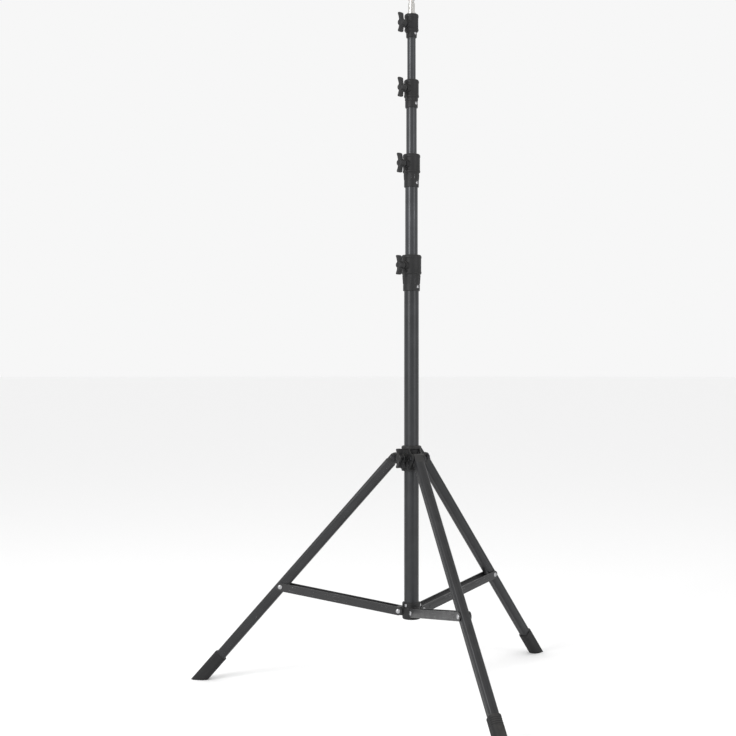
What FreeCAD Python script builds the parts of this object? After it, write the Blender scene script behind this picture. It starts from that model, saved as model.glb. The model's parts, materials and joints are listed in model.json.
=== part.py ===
"""Lighting stand with a folding tripod base and a four-section telescoping column.

Frame: millimetres, +Z up, origin on the column's axis at floor level. One leg points along -Y
(front), the other two to azimuths 150 (left) and 30 (right) degrees. Every piece is one closed
solid, or a group of identical fasteners, written to parts/NODE.step.

The base works as a slider-crank: the leg hub slides on the base tube, the legs hang from it, and
a pair of flat straps ties each leg to the brace hub at the tube's foot.
"""

import FreeCAD
import Part
import math
import os

from FreeCAD import Vector

# ---- Driving dimensions --------------------------------------------------------------------
TUBE_OD = (35.0, 30.0, 25.0, 20.0)      # base tube, riser 1, riser 2, riser 3
TUBE_WALL = 1.5
RISER_LENGTH = 860.0

# Base linkage, in the vertical plane of one leg
LEG_AZIMUTH = {"front": 270.0, "left": 150.0, "right": 30.0}
LEG_ANGLE = 41.4                         # from the vertical, legs spread
FOLDED_LEG_ANGLE = 2.5
LEG_PIVOT_R = 40.0
LEG_PIVOT_Z = 555.0
BRACE_PIVOT_ALONG_LEG = 425.0            # from the leg's pivot at the hub
BRACE_HUB_R = 30.0
BRACE_HUB_Z = 189.0

# Clamps: base collar, collar 1, collar 2, top socket
KNOB_AZIMUTH = 210.0
CLAMP_Z = (1011.0, 1252.0, 1431.0, 1584.0)
CLAMP_ABOVE = (26.0, 25.0, 23.0, 26.0)   # from the clamp screw's axis up to the collar's top
CLAMP_BELOW = (60.0, 54.0, 44.0, 30.0)   # and down to the skirt's lower edge
CLAMP_RING_R = (24.0, 21.0, 18.0, 17.0)
SKIRT_WALL = 2.6
SKIRT_FLARE = 0.4
SKIRT_STRAIGHT = 16.0
WAIST_DEPTH = 2.2                        # groove under the clamp ring
WAIST_LOW = 22.0
WAIST_HIGH = 20.0
RING_FOOT = 17.5                         # the ring's lower edge, below the screw's axis
EDGE = 0.8
LIP_FOOT = 5.0                           # rounded upper edge of the ring
LIP_SHOULDER = 2.2
LIP_IN = 3.0
LINER_STOP = 2.0                         # the collar's inward lip over its liner
MOUTH_GAP = 0.5
TUBE_TOP_BELOW_CLAMP = 14.0              # where the lower tube ends inside its collar

# Fits
RUNNING = 0.06                           # radial clearance of a shaft that turns or slides
GUIDE_ABOVE = 26.0                       # guide bush, above and below the riser's end
GUIDE_BELOW = 4.0
GUIDE_CORE = 16.0                        # plug of the bush inside the riser
BASE_PLUG_HEIGHT = 18.0
VENT_R = 3.0
SEAT = 0.05                              # radial clearance of a glued or screwed seat
LINER_WALL = 2.0

# Clamp screws and knobs
SCREW_R = 4.0
SCREW_INTO_KNOB = 14.0
SCREW_TIP_GAP = 0.15                     # from the screw's tip to what it presses on
SCREW_CHAMFER = 0.8
INSERT_SUNK = 0.6                        # the insert's ends below the bore and the boss's face
INSERT_R = 6.0
BOSS_ROOT_R = 12.0
BOSS_FACE_R = 9.5
BOSS_ROOT_IN = 7.0                       # how deep the boss starts inside the ring
BOSS_OUT = 6.0                           # the boss's face, outside the collar's ring
KNOB_GAP = 2.0                           # from the boss's face to the knob
KNOB_HUB_R = 9.0
KNOB_HUB_DEPTH = 18.0
KNOB_DEPTH = 24.0
KNOB_SPAN = 46.0
KNOB_THICKNESS = 9.0
KNOB_DISH = 6.0                          # of the wings' outer edge
KNOB_WING_START = 2.0                    # the wings' inner edge, at the hub
KNOB_WING_ROOT = 8.0                     # half the wings' width there
KNOB_TIP_LOW = 9.0                       # and at the tips
KNOB_TIP_R = 5.5
KNOB_RIM_R = 2.5
KNOB_HUB_EDGE_R = 2.0

# Legs and feet
LEG_DEPTH = 25.0                         # in the leg's plane
LEG_WIDTH = 22.0                         # across it
LEG_CORNER_R = 6.0
LEG_WALL = 1.5
LEG_TUBE_START = 20.0                    # along the leg from its pivot
LEG_SHOULDER = 5.0                       # moulded shoulder above the tube's end
LEG_PLUG = 34.0                          # inside the tube
LEG_EYE_R = 11.0
LEG_BOLT_R = 3.0
FOOT_DEPTH = 32.0
FOOT_WIDTH = 28.0
FOOT_CORNER_R = 10.0
FOOT_SLEEVE = 48.0                       # how far the foot reaches up the tube
FOOT_EDGE = 1.2
FOOT_SOLE = 22.0                         # rubber under the tube's end, along the leg

# Braces
STRAP_WIDTH = 20.0
STRAP_THICKNESS = 2.5
STRAP_GAP = 0.4                          # from the leg's side to the strap
RIVET_R = 3.0
RIVET_HEAD_R = 5.5
RIVET_HEAD = 2.2
RIVET_HEAD_ROUND = 1.9

# Hubs
HUB_RING_R = 24.0
HUB_ABOVE = 28.0
HUB_BELOW = 32.0
HUB_END = 1.5                            # wall left over the liner at each end
HUB_MOUTH_GAP = 0.6
EAR_IN_SLEEVE = 4.0
EAR_BELOW_TOP = 5.0                      # the ear's root, from the sleeve's ends
EAR_ABOVE_FOOT = 3.0
EAR_THICKNESS = 4.0
EAR_R = 10.5
BOLT_FLATS = 10.0                        # M6 pivot bolts
BOLT_HEAD = 4.0
BOLT_NUT = 5.0
NUT_CROWN = 1.2                          # round collar on the nut's outer end
NUT_CROWN_IN = 0.6
BOLT_PAST_NUT = 1.5
BOLT_WASHER_R = 6.2
BOLT_WASHER = 0.8
BRACE_HUB_RING_R = 22.0
BRACE_HUB_FLOOR_Z = 170.0
BRACE_HUB_TOP_Z = 210.0
BRACE_HUB_SCREW_DOWN = 6.0               # its screws, below its top
BRACE_HUB_SCREW_INSIDE = 3.5             # their tips, inside the tube's outer surface
BRACE_HUB_FLOOR = 4.0
BRACE_HUB_EDGE = 2.0
BRACE_HUB_VENT_R = 6.0

# Small screws that hold collars to tubes
SMALL_SCREW_R = 2.0
SMALL_HEAD_R = 3.6
SMALL_HEAD = 1.8
SMALL_SLOT = 0.9                         # width and depth of the driver slot
SMALL_TIP_INSIDE = 1.3                   # how far the tip goes into the tube's wall
SPOT_MARGIN = 0.4                        # of a spot face round a small screw's head
SMALL_SCREW_UP = 10.0                    # above a collar's lower edge

# Spigot, the 5/8 inch stud on top, with a 3/8 inch threaded tip
SPIGOT_R = 7.94
SPIGOT_SHANK_R = 7.5                     # the part inside the socket
SPIGOT_IN_SOCKET = 32.0
SOCKET_WALL = 1.0                        # left between the shank's bore and the insert
SPIGOT_OUT = 45.0
SPIGOT_GROOVE_R = 6.4
SPIGOT_FLANGE_R = 11.5
SPIGOT_FLANGE = 3.5
SPIGOT_GROOVE_LOW = 26.0                 # above the socket's top
SPIGOT_GROOVE_WIDTH = 8.0
SPIGOT_GROOVE_SLOPE = 1.6
SPIGOT_TIP_R = 4.76
SPIGOT_TIP = 12.0

# ---- Worked-out dimensions -----------------------------------------------------------------
SIN_LEG = math.sin(math.radians(LEG_ANGLE))
COS_LEG = math.cos(math.radians(LEG_ANGLE))
LEG_LENGTH = LEG_PIVOT_Z / COS_LEG       # pivot to floor, along the leg
LEG_TUBE_END = LEG_LENGTH - FOOT_SOLE - LEG_DEPTH / 2
BASE_TUBE_FOOT_Z = BRACE_HUB_FLOOR_Z + BRACE_HUB_FLOOR
BRACE_OUT_R = LEG_PIVOT_R + BRACE_PIVOT_ALONG_LEG * SIN_LEG
BRACE_OUT_Z = LEG_PIVOT_Z - BRACE_PIVOT_ALONG_LEG * COS_LEG
BRACE_LENGTH = math.hypot(BRACE_OUT_R - BRACE_HUB_R, BRACE_OUT_Z - BRACE_HUB_Z)
BRACE_ANGLE = math.degrees(math.atan2(BRACE_OUT_R - BRACE_HUB_R, BRACE_OUT_Z - BRACE_HUB_Z))
STRAP_INNER = LEG_WIDTH / 2 + STRAP_GAP
STRAP_OUTER = STRAP_INNER + STRAP_THICKNESS
EAR_INNER = LEG_WIDTH / 2 + STRAP_GAP
EAR_OUTER = EAR_INNER + EAR_THICKNESS

Z_AXIS = Vector(0, 0, 1)
ORIGIN = Vector(0, 0, 0)


# ---- Shape helpers -------------------------------------------------------------------------
def cylinder(radius, start, direction, length):
    """Solid cylinder from a start point along a direction."""
    return Part.makeCylinder(radius, length, start, direction)


def ring(outer, inner, z_low, z_high):
    """Tube round the Z axis."""
    height = z_high - z_low
    body = Part.makeCylinder(outer, height, Vector(0, 0, z_low))
    return body.cut(Part.makeCylinder(inner, height + 2, Vector(0, 0, z_low - 1)))


def revolved(points):
    """Solid of revolution about Z from (radius, z) corners in order."""
    corners = [Vector(r, 0, z) for r, z in points]
    outline = Part.makePolygon(corners + corners[:1])
    return Part.Face(outline).revolve(ORIGIN, Z_AXIS, 360)


def rounded_bar(depth, width, radius, z_low, z_high):
    """Bar along Z with a rounded rectangular section, depth along X and width along Y."""
    bar = Part.makeBox(depth, width, z_high - z_low, Vector(-depth / 2, -width / 2, z_low))
    upright = [e for e in bar.Edges if abs(e.Vertexes[0].Z - e.Vertexes[-1].Z) > 1.0]
    return bar.makeFillet(radius, upright)


def hexagon(across_flats, start, direction_y, height):
    """Hexagonal prism along +Y or -Y from a start point."""
    corner_r = across_flats / math.sqrt(3)
    corners = []
    for k in range(7):
        turn = math.radians(60 * k + 30)
        corners.append(start + Vector(corner_r * math.cos(turn), 0, corner_r * math.sin(turn)))
    return Part.Face(Part.makePolygon(corners)).extrude(Vector(0, direction_y * height, 0))


def turned(shape, azimuth):
    """Copy of a shape modelled towards +X, turned about Z to an azimuth in degrees."""
    copy = shape.copy()
    copy.rotate(ORIGIN, Z_AXIS, azimuth)
    return copy


def raised(shape, height):
    """Copy of a shape moved up."""
    copy = shape.copy()
    copy.translate(Vector(0, 0, height))
    return copy


def on_leg(shape):
    """A piece modelled hanging straight down from its pivot, swung out to the spread leg."""
    copy = shape.copy()
    copy.rotate(ORIGIN, Vector(0, 1, 0), -LEG_ANGLE)
    copy.translate(Vector(LEG_PIVOT_R, 0, LEG_PIVOT_Z))
    return copy


def on_brace(shape):
    """A piece modelled standing straight up from the brace hub's pivot, swung out to the leg."""
    copy = shape.copy()
    copy.rotate(ORIGIN, Vector(0, 1, 0), BRACE_ANGLE)
    copy.translate(Vector(BRACE_HUB_R, 0, BRACE_HUB_Z))
    return copy


# ---- Column tubes and their inner pieces ---------------------------------------------------
def small_screw(surface_r, tip_r, z, azimuth):
    """Pan-head screw pointing at the axis, its head on a surface at radius surface_r."""
    shank = cylinder(SMALL_SCREW_R, Vector(tip_r, 0, z), Vector(1, 0, 0), surface_r - tip_r)
    head = cylinder(SMALL_HEAD_R, Vector(surface_r, 0, z), Vector(1, 0, 0), SMALL_HEAD)
    top = [e for e in head.Edges if isinstance(e.Curve, Part.Circle)
           and e.CenterOfMass.x > surface_r + SMALL_HEAD / 2]
    slot = Part.makeBox(SMALL_SLOT + 0.1, 2 * SMALL_HEAD_R, SMALL_SLOT,
                        Vector(surface_r + SMALL_HEAD - SMALL_SLOT, -SMALL_HEAD_R, z - SMALL_SLOT / 2))
    return turned(head.makeFillet(SMALL_HEAD / 2, top).cut(slot).fuse(shank), azimuth)


def small_hole(z, azimuth, reach):
    """Clearance hole for a small screw, through everything out to a radius."""
    hole = cylinder(SMALL_SCREW_R + SEAT, Vector(2, 0, z), Vector(1, 0, 0), reach)
    return turned(hole, azimuth)


def small_seat(surface_r, z, azimuth):
    """Spot face for a small screw's head, outwards from a surface at radius surface_r."""
    face = cylinder(SMALL_HEAD_R + SPOT_MARGIN, Vector(surface_r, 0, z), Vector(1, 0, 0), 10)
    return turned(face, azimuth)


def collar_screw_places(k):
    """(height, azimuth) of the two screws that hold collar k to its lower tube."""
    z = CLAMP_Z[k] - CLAMP_BELOW[k] + SMALL_SCREW_UP
    return [(z, KNOB_AZIMUTH + 90), (z, KNOB_AZIMUTH - 90)]


def brace_hub_screw_places():
    """(height, azimuth) of the three screws that hold the brace hub, midway between legs."""
    return [(BRACE_HUB_TOP_Z - BRACE_HUB_SCREW_DOWN, azimuth + 60) for azimuth in LEG_AZIMUTH.values()]


def tube_top(k):
    """Height of the top end of tube k, inside the collar that it carries."""
    return CLAMP_Z[k] - TUBE_TOP_BELOW_CLAMP


def tube_foot(k):
    """Height of the lower end of tube k."""
    return BASE_TUBE_FOOT_Z if k == 0 else tube_top(k) - RISER_LENGTH


def column_tube(k):
    """Tube k of the column, drilled for its screws."""
    radius = TUBE_OD[k] / 2
    tube = ring(radius, radius - TUBE_WALL, tube_foot(k), tube_top(k))
    places = collar_screw_places(k) + (brace_hub_screw_places() if k == 0 else [])
    for z, azimuth in places:
        tube = tube.cut(small_hole(z, azimuth, radius + 5))
    return tube


def base_plug():
    """Plastic bung in the foot of the base tube, with a vent."""
    radius = TUBE_OD[0] / 2 - TUBE_WALL - SEAT
    low = BASE_TUBE_FOOT_Z + 0.5
    plug = Part.makeCylinder(radius, BASE_PLUG_HEIGHT, Vector(0, 0, low))
    return plug.cut(Part.makeCylinder(VENT_R, 30.0, Vector(0, 0, low - 5)))


def guide_bush(k):
    """Plastic shoe on the foot of riser k, running in the tube below."""
    riser_r = TUBE_OD[k] / 2
    outer = TUBE_OD[k - 1] / 2 - TUBE_WALL - RUNNING
    foot = tube_foot(k)
    low = foot - GUIDE_BELOW
    shoe = ring(outer, riser_r + SEAT, low, foot + GUIDE_ABOVE)
    floor = Part.makeCylinder(outer, GUIDE_BELOW - 0.1, Vector(0, 0, low))
    core = Part.makeCylinder(riser_r - TUBE_WALL - SEAT, GUIDE_CORE, Vector(0, 0, low))
    vent = Part.makeCylinder(VENT_R, 2 * GUIDE_CORE, Vector(0, 0, low - 1))
    return shoe.fuse(floor).fuse(core).cut(vent).removeSplitter()


# ---- Collars -------------------------------------------------------------------------------
def boss(ring_r):
    """Tapered boss towards +X that carries the clamp screw's insert."""
    start = ring_r - BOSS_ROOT_IN
    length = BOSS_OUT + BOSS_ROOT_IN
    return Part.makeCone(BOSS_ROOT_R, BOSS_FACE_R, length, Vector(start, 0, 0), Vector(1, 0, 0))


def insert_hole(bore_r, ring_r):
    """Seat of the threaded insert, from inside the bore to outside the boss."""
    start = bore_r - 4.0
    return cylinder(INSERT_R + SEAT, Vector(start, 0, 0), Vector(1, 0, 0), ring_r + 20 - start)


def rolled_lip(ring_r, top):
    """Corners of a clamp ring's rounded upper edge, from its side to the axis."""
    return [(ring_r, top - LIP_FOOT), (ring_r - EDGE, top - LIP_SHOULDER),
            (ring_r - LIP_IN, top), (0, top)]


def collar_body(ring_r, skirt_r, above, below):
    """Outside of a collar: clamp ring, waist groove and a skirt that tapers to the tube."""
    waist_r = ring_r - WAIST_DEPTH
    profile = [
        (0, -below), (skirt_r - EDGE, -below), (skirt_r, -below + EDGE),
        (skirt_r + SKIRT_FLARE, -below + SKIRT_STRAIGHT), (waist_r, -WAIST_LOW),
        (waist_r, -WAIST_HIGH), (ring_r, -RING_FOOT),
    ]
    return revolved(profile + rolled_lip(ring_r, above))


def tube_seat(tube_r, below):
    """Bore that takes the end of the lower tube, open at the skirt's lower edge."""
    return Part.makeCylinder(tube_r + SEAT, below - TUBE_TOP_BELOW_CLAMP + 1, Vector(0, 0, -below - 1))


def collar(k):
    """Die-cast collar on top of tube k, clamping tube k + 1."""
    lower_r = TUBE_OD[k] / 2
    upper_r = TUBE_OD[k + 1] / 2
    above, below, ring_r = CLAMP_ABOVE[k], CLAMP_BELOW[k], CLAMP_RING_R[k]
    body = collar_body(ring_r, lower_r + SKIRT_WALL, above, below).fuse(boss(ring_r))
    seat = tube_seat(lower_r, below)
    liner_r = upper_r + LINER_WALL + SEAT
    bore = Part.makeCylinder(liner_r, above + TUBE_TOP_BELOW_CLAMP - LINER_STOP,
                             Vector(0, 0, -TUBE_TOP_BELOW_CLAMP))
    mouth = Part.makeCylinder(upper_r + MOUTH_GAP, 10, Vector(0, 0, above - 5))
    body = body.cut(seat).cut(bore).cut(mouth).cut(insert_hole(liner_r, ring_r))
    body = raised(turned(body, KNOB_AZIMUTH), CLAMP_Z[k])
    for z, azimuth in collar_screw_places(k):
        body = body.cut(small_hole(z, azimuth, lower_r + 10))
        body = body.cut(small_seat(lower_r + SKIRT_WALL, z, azimuth))
    return body


def collar_liner(k):
    """Acetal sleeve inside collar k, which the clamp screw presses on the riser."""
    inner = TUBE_OD[k + 1] / 2 + RUNNING
    low = CLAMP_Z[k] - TUBE_TOP_BELOW_CLAMP + 0.1
    high = CLAMP_Z[k] + CLAMP_ABOVE[k] - LINER_STOP - 0.1
    return ring(TUBE_OD[k + 1] / 2 + LINER_WALL, inner, low, high)


def clamp_insert(bore_r, ring_r):
    """Brass bush for the clamp screw, along +X."""
    start = bore_r + INSERT_SUNK
    length = ring_r + BOSS_OUT - INSERT_SUNK - start
    outer = cylinder(INSERT_R, Vector(start, 0, 0), Vector(1, 0, 0), length)
    return outer.cut(cylinder(SCREW_R + RUNNING, Vector(start - 1, 0, 0), Vector(1, 0, 0), length + 2))


def clamp_screw(tip_r, ring_r):
    """Steel clamp screw along +X, its tip chamfered, its other end inside the knob."""
    end = ring_r + BOSS_OUT + KNOB_GAP + SCREW_INTO_KNOB
    rod = cylinder(SCREW_R, Vector(tip_r, 0, 0), Vector(1, 0, 0), end - tip_r)
    ends = [e for e in rod.Edges if isinstance(e.Curve, Part.Circle)]
    return rod.makeChamfer(SCREW_CHAMFER, ends)


def wing_outline():
    """Side view of the knob's two wings: flared tips and a dished outer edge."""
    half, low, root = KNOB_SPAN / 2, KNOB_WING_START, KNOB_WING_ROOT
    dish = Part.Arc(Vector(KNOB_DEPTH, 0, -half), Vector(KNOB_DEPTH - KNOB_DISH, 0, 0),
                    Vector(KNOB_DEPTH, 0, half))
    corners = [Vector(KNOB_DEPTH, 0, half), Vector(KNOB_TIP_LOW, 0, half), Vector(low, 0, root),
               Vector(low, 0, -root), Vector(KNOB_TIP_LOW, 0, -half), Vector(KNOB_DEPTH, 0, -half)]
    return Part.Wire([dish.toShape()] + list(Part.makePolygon(corners).Edges))


def knob(ring_r):
    """Moulded wing knob along +X: a round hub and two flat wings."""
    face = Part.Face(wing_outline())
    wings = face.extrude(Vector(0, KNOB_THICKNESS, 0))
    wings.translate(Vector(0, -KNOB_THICKNESS / 2, 0))
    half = KNOB_SPAN / 2
    tips = [e for e in wings.Edges if abs(abs(e.CenterOfMass.z) - half) < 0.01
            and abs(e.CenterOfMass.y) < 0.01]
    wings = wings.makeFillet(KNOB_TIP_R, tips)
    rims = [e for e in wings.Edges if abs(abs(e.CenterOfMass.y) - KNOB_THICKNESS / 2) < 0.01
            and e.CenterOfMass.x > KNOB_WING_START + 1]
    wings = wings.makeFillet(KNOB_RIM_R, rims)
    hub = Part.makeCone(KNOB_HUB_R, KNOB_HUB_R - 1.0, KNOB_HUB_DEPTH, ORIGIN, Vector(1, 0, 0))
    outer = [e for e in hub.Edges if isinstance(e.Curve, Part.Circle) and e.CenterOfMass.x > 1]
    hub = hub.makeFillet(KNOB_HUB_EDGE_R, outer)
    hole = cylinder(SCREW_R + RUNNING, Vector(-1, 0, 0), Vector(1, 0, 0), SCREW_INTO_KNOB + 1.5)
    whole = hub.fuse(wings).cut(hole)
    whole.translate(Vector(ring_r + BOSS_OUT + KNOB_GAP, 0, 0))
    return whole


def clamp(prefix, bore_r, tip_r, ring_r, z, parts):
    """Insert, screw and knob of one clamp, at height z."""
    for name, shape in (("insert", clamp_insert(bore_r, ring_r)),
                        ("clamp_screw", clamp_screw(tip_r, ring_r)),
                        ("knob", knob(ring_r))):
        parts[prefix + "_" + name] = raised(turned(shape, KNOB_AZIMUTH), z)


def collar_screws(k):
    """The two small screws of collar k."""
    tube_r = TUBE_OD[k] / 2
    surface = tube_r + SKIRT_WALL
    screws = [small_screw(surface, tube_r - SMALL_TIP_INSIDE, z, azimuth)
              for z, azimuth in collar_screw_places(k)]
    return Part.makeCompound(screws)


# ---- Top socket and spigot -----------------------------------------------------------------
def top_socket():
    """Casting on riser 3 that takes the spigot from above."""
    tube_r = TUBE_OD[3] / 2
    skirt_r = tube_r + SKIRT_WALL
    above, below, ring_r = CLAMP_ABOVE[3], CLAMP_BELOW[3], CLAMP_RING_R[3]
    profile = [
        (0, -below), (skirt_r - EDGE, -below), (skirt_r, -below + EDGE),
        (skirt_r + SKIRT_FLARE, -below + 12), (ring_r - 1.5, -14), (ring_r, -12),
    ]
    body = revolved(profile + rolled_lip(ring_r, above)).fuse(boss(ring_r))
    seat = tube_seat(tube_r, below)
    depth = SPIGOT_IN_SOCKET + 0.5
    socket = Part.makeCylinder(SPIGOT_SHANK_R + RUNNING, depth + 1, Vector(0, 0, above - depth))
    body = body.cut(seat).cut(socket).cut(insert_hole(SPIGOT_SHANK_R + SOCKET_WALL, ring_r))
    body = raised(turned(body, KNOB_AZIMUTH), CLAMP_Z[3])
    for z, azimuth in collar_screw_places(3):
        body = body.cut(small_hole(z, azimuth, tube_r + 10))
        body = body.cut(small_seat(skirt_r, z, azimuth))
    return body


def spigot():
    """Turned steel stud: shank, ring groove and a threaded tip."""
    top = SPIGOT_OUT
    low, high = SPIGOT_GROOVE_LOW, SPIGOT_GROOVE_LOW + SPIGOT_GROOVE_WIDTH
    profile = [
        (0, -SPIGOT_IN_SOCKET), (SPIGOT_SHANK_R - 1, -SPIGOT_IN_SOCKET),
        (SPIGOT_SHANK_R, -SPIGOT_IN_SOCKET + 1), (SPIGOT_SHANK_R, 0),
        (SPIGOT_FLANGE_R - 0.6, 0), (SPIGOT_FLANGE_R, 0.6),
        (SPIGOT_FLANGE_R, SPIGOT_FLANGE - 0.8), (SPIGOT_FLANGE_R - 0.8, SPIGOT_FLANGE),
        (SPIGOT_R, SPIGOT_FLANGE), (SPIGOT_R, low), (SPIGOT_GROOVE_R, low + SPIGOT_GROOVE_SLOPE),
        (SPIGOT_GROOVE_R, high - SPIGOT_GROOVE_SLOPE), (SPIGOT_R, high),
        (SPIGOT_R, top - 1), (SPIGOT_R - 1, top), (SPIGOT_TIP_R, top),
        (SPIGOT_TIP_R, top + SPIGOT_TIP - 1), (SPIGOT_TIP_R - 1, top + SPIGOT_TIP), (0, top + SPIGOT_TIP),
    ]
    return raised(revolved(profile), CLAMP_Z[3] + CLAMP_ABOVE[3])


# ---- Leg hub -------------------------------------------------------------------------------
def ear_outline(inner_r, high, low):
    """Side view of a hub ear that narrows to its pivot eye."""
    eye_top = Vector(LEG_PIVOT_R, 0, EAR_R)
    eye_low = Vector(LEG_PIVOT_R, 0, -EAR_R)
    eye = Part.Arc(eye_top, Vector(LEG_PIVOT_R + EAR_R, 0, 0), eye_low).toShape()
    rest = Part.makePolygon([eye_low, Vector(inner_r, 0, low), Vector(inner_r, 0, high), eye_top])
    return Part.Wire([eye] + list(rest.Edges))


def leg_hub():
    """Sliding casting on the base tube: a sleeve, three pairs of ears and the clamp's boss."""
    bore_r = TUBE_OD[0] / 2 + LINER_WALL + SEAT
    outside = [
        (0, -HUB_BELOW), (HUB_RING_R - HUB_END, -HUB_BELOW), (HUB_RING_R, -HUB_BELOW + HUB_END),
    ]
    body = revolved(outside + rolled_lip(HUB_RING_R, HUB_ABOVE)).fuse(turned(boss(HUB_RING_R), KNOB_AZIMUTH))
    face = Part.Face(ear_outline(HUB_RING_R - EAR_IN_SLEEVE, HUB_ABOVE - EAR_BELOW_TOP,
                                 EAR_ABOVE_FOOT - HUB_BELOW))
    plate = face.extrude(Vector(0, EAR_THICKNESS, 0))
    ears = []
    for side in (EAR_INNER, -EAR_OUTER):
        ear = plate.copy()
        ear.translate(Vector(0, side, 0))
        ears.append(ear)
    hole = cylinder(LEG_BOLT_R + RUNNING, Vector(LEG_PIVOT_R, -40, 0), Vector(0, 1, 0), 80)
    pair = ears[0].fuse(ears[1]).cut(hole)
    for azimuth in LEG_AZIMUTH.values():
        body = body.fuse(turned(pair, azimuth))
    bore = Part.makeCylinder(bore_r, HUB_ABOVE + HUB_BELOW - 2 * HUB_END, Vector(0, 0, HUB_END - HUB_BELOW))
    mouth = Part.makeCylinder(TUBE_OD[0] / 2 + HUB_MOUTH_GAP, 80, Vector(0, 0, -40))
    body = body.cut(bore).cut(mouth).cut(turned(insert_hole(bore_r, HUB_RING_R), KNOB_AZIMUTH))
    return raised(body, LEG_PIVOT_Z)


def leg_hub_liner():
    """Acetal sleeve that lets the leg hub run on the base tube."""
    low = LEG_PIVOT_Z - HUB_BELOW + HUB_END + 0.1
    high = LEG_PIVOT_Z + HUB_ABOVE - HUB_END - 0.1
    return ring(TUBE_OD[0] / 2 + LINER_WALL, TUBE_OD[0] / 2 + RUNNING, low, high)


def leg_pivot_bolt():
    """Hexagon bolt across one pair of ears, head on the -Y side."""
    seat = -EAR_OUTER - BOLT_WASHER
    washer = cylinder(BOLT_WASHER_R, Vector(0, -EAR_OUTER, 0), Vector(0, -1, 0), BOLT_WASHER)
    head = hexagon(BOLT_FLATS, Vector(0, seat, 0), -1, BOLT_HEAD)
    length = EAR_OUTER - seat + BOLT_NUT + BOLT_PAST_NUT
    shank = cylinder(LEG_BOLT_R, Vector(0, seat, 0), Vector(0, 1, 0), length)
    bolt = washer.fuse(head).fuse(shank).removeSplitter()
    bolt.translate(Vector(LEG_PIVOT_R, 0, LEG_PIVOT_Z))
    return bolt


def leg_pivot_nut():
    """Lock nut on the +Y end of a pivot bolt."""
    body = hexagon(BOLT_FLATS, Vector(0, EAR_OUTER, 0), 1, BOLT_NUT - NUT_CROWN)
    start = Vector(0, EAR_OUTER + BOLT_NUT - NUT_CROWN, 0)
    crown = cylinder(BOLT_FLATS / 2 - NUT_CROWN_IN, start, Vector(0, 1, 0), NUT_CROWN)
    nut = body.fuse(crown).cut(cylinder(LEG_BOLT_R + SEAT, ORIGIN, Vector(0, 1, 0), 60))
    nut.translate(Vector(LEG_PIVOT_R, 0, LEG_PIVOT_Z))
    return nut


# ---- Legs ----------------------------------------------------------------------------------
def leg_tube():
    """Extruded leg with flat sides, drilled for the brace pin."""
    outer = rounded_bar(LEG_DEPTH, LEG_WIDTH, LEG_CORNER_R, -LEG_TUBE_END, -LEG_TUBE_START)
    inner = rounded_bar(LEG_DEPTH - 2 * LEG_WALL, LEG_WIDTH - 2 * LEG_WALL, LEG_CORNER_R - LEG_WALL,
                        -LEG_TUBE_END - 1, -LEG_TUBE_START + 1)
    hole = cylinder(RIVET_R + SEAT, Vector(0, -20, -BRACE_PIVOT_ALONG_LEG), Vector(0, 1, 0), 40)
    return on_leg(outer.cut(inner).cut(hole))


def leg_end():
    """Moulded end of the leg: an eye between the hub's ears and a plug inside the tube."""
    eye = cylinder(LEG_EYE_R, Vector(0, -LEG_WIDTH / 2, 0), Vector(0, 1, 0), LEG_WIDTH)
    neck_foot = LEG_SHOULDER - 1 - LEG_TUBE_START
    neck = Part.makeBox(2 * LEG_EYE_R, LEG_WIDTH, -neck_foot, Vector(-LEG_EYE_R, -LEG_WIDTH / 2, neck_foot))
    shoulder = rounded_bar(LEG_DEPTH, LEG_WIDTH, LEG_CORNER_R, 0.1 - LEG_TUBE_START,
                           LEG_SHOULDER - LEG_TUBE_START)
    plug = rounded_bar(LEG_DEPTH - 2 * (LEG_WALL + SEAT), LEG_WIDTH - 2 * (LEG_WALL + SEAT),
                       LEG_CORNER_R - LEG_WALL, -LEG_TUBE_START - LEG_PLUG, -LEG_TUBE_START + 1)
    body = eye.fuse(neck).fuse(shoulder).fuse(plug).removeSplitter()
    hole = cylinder(LEG_BOLT_R + RUNNING, Vector(0, -20, 0), Vector(0, 1, 0), 40)
    return on_leg(body.cut(hole))


def foot():
    """Rubber boot on the leg's end, cut flat where it meets the floor."""
    boot = rounded_bar(FOOT_DEPTH, FOOT_WIDTH, FOOT_CORNER_R, -LEG_LENGTH - 40, -LEG_TUBE_END + FOOT_SLEEVE)
    top = [e for e in boot.Edges if abs(e.CenterOfMass.z + LEG_TUBE_END - FOOT_SLEEVE) < 0.01]
    boot = boot.makeChamfer(FOOT_EDGE, top)
    socket = rounded_bar(LEG_DEPTH + 2 * SEAT, LEG_WIDTH + 2 * SEAT, LEG_CORNER_R + SEAT,
                         -LEG_TUBE_END - 0.1, -LEG_TUBE_END + FOOT_SLEEVE + 5)
    boot = on_leg(boot.cut(socket))
    below_floor = Part.makeBox(400, 400, 200, Vector(LEG_PIVOT_R + LEG_LENGTH * SIN_LEG - 200, -200, -200))
    return boot.cut(below_floor)


def brace_pin():
    """Pin through the leg where its brace hangs, flush with the leg's sides."""
    half = LEG_WIDTH / 2 + 0.1
    return on_leg(cylinder(RIVET_R, Vector(0, -half, -BRACE_PIVOT_ALONG_LEG), Vector(0, 1, 0), 2 * half))


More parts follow.
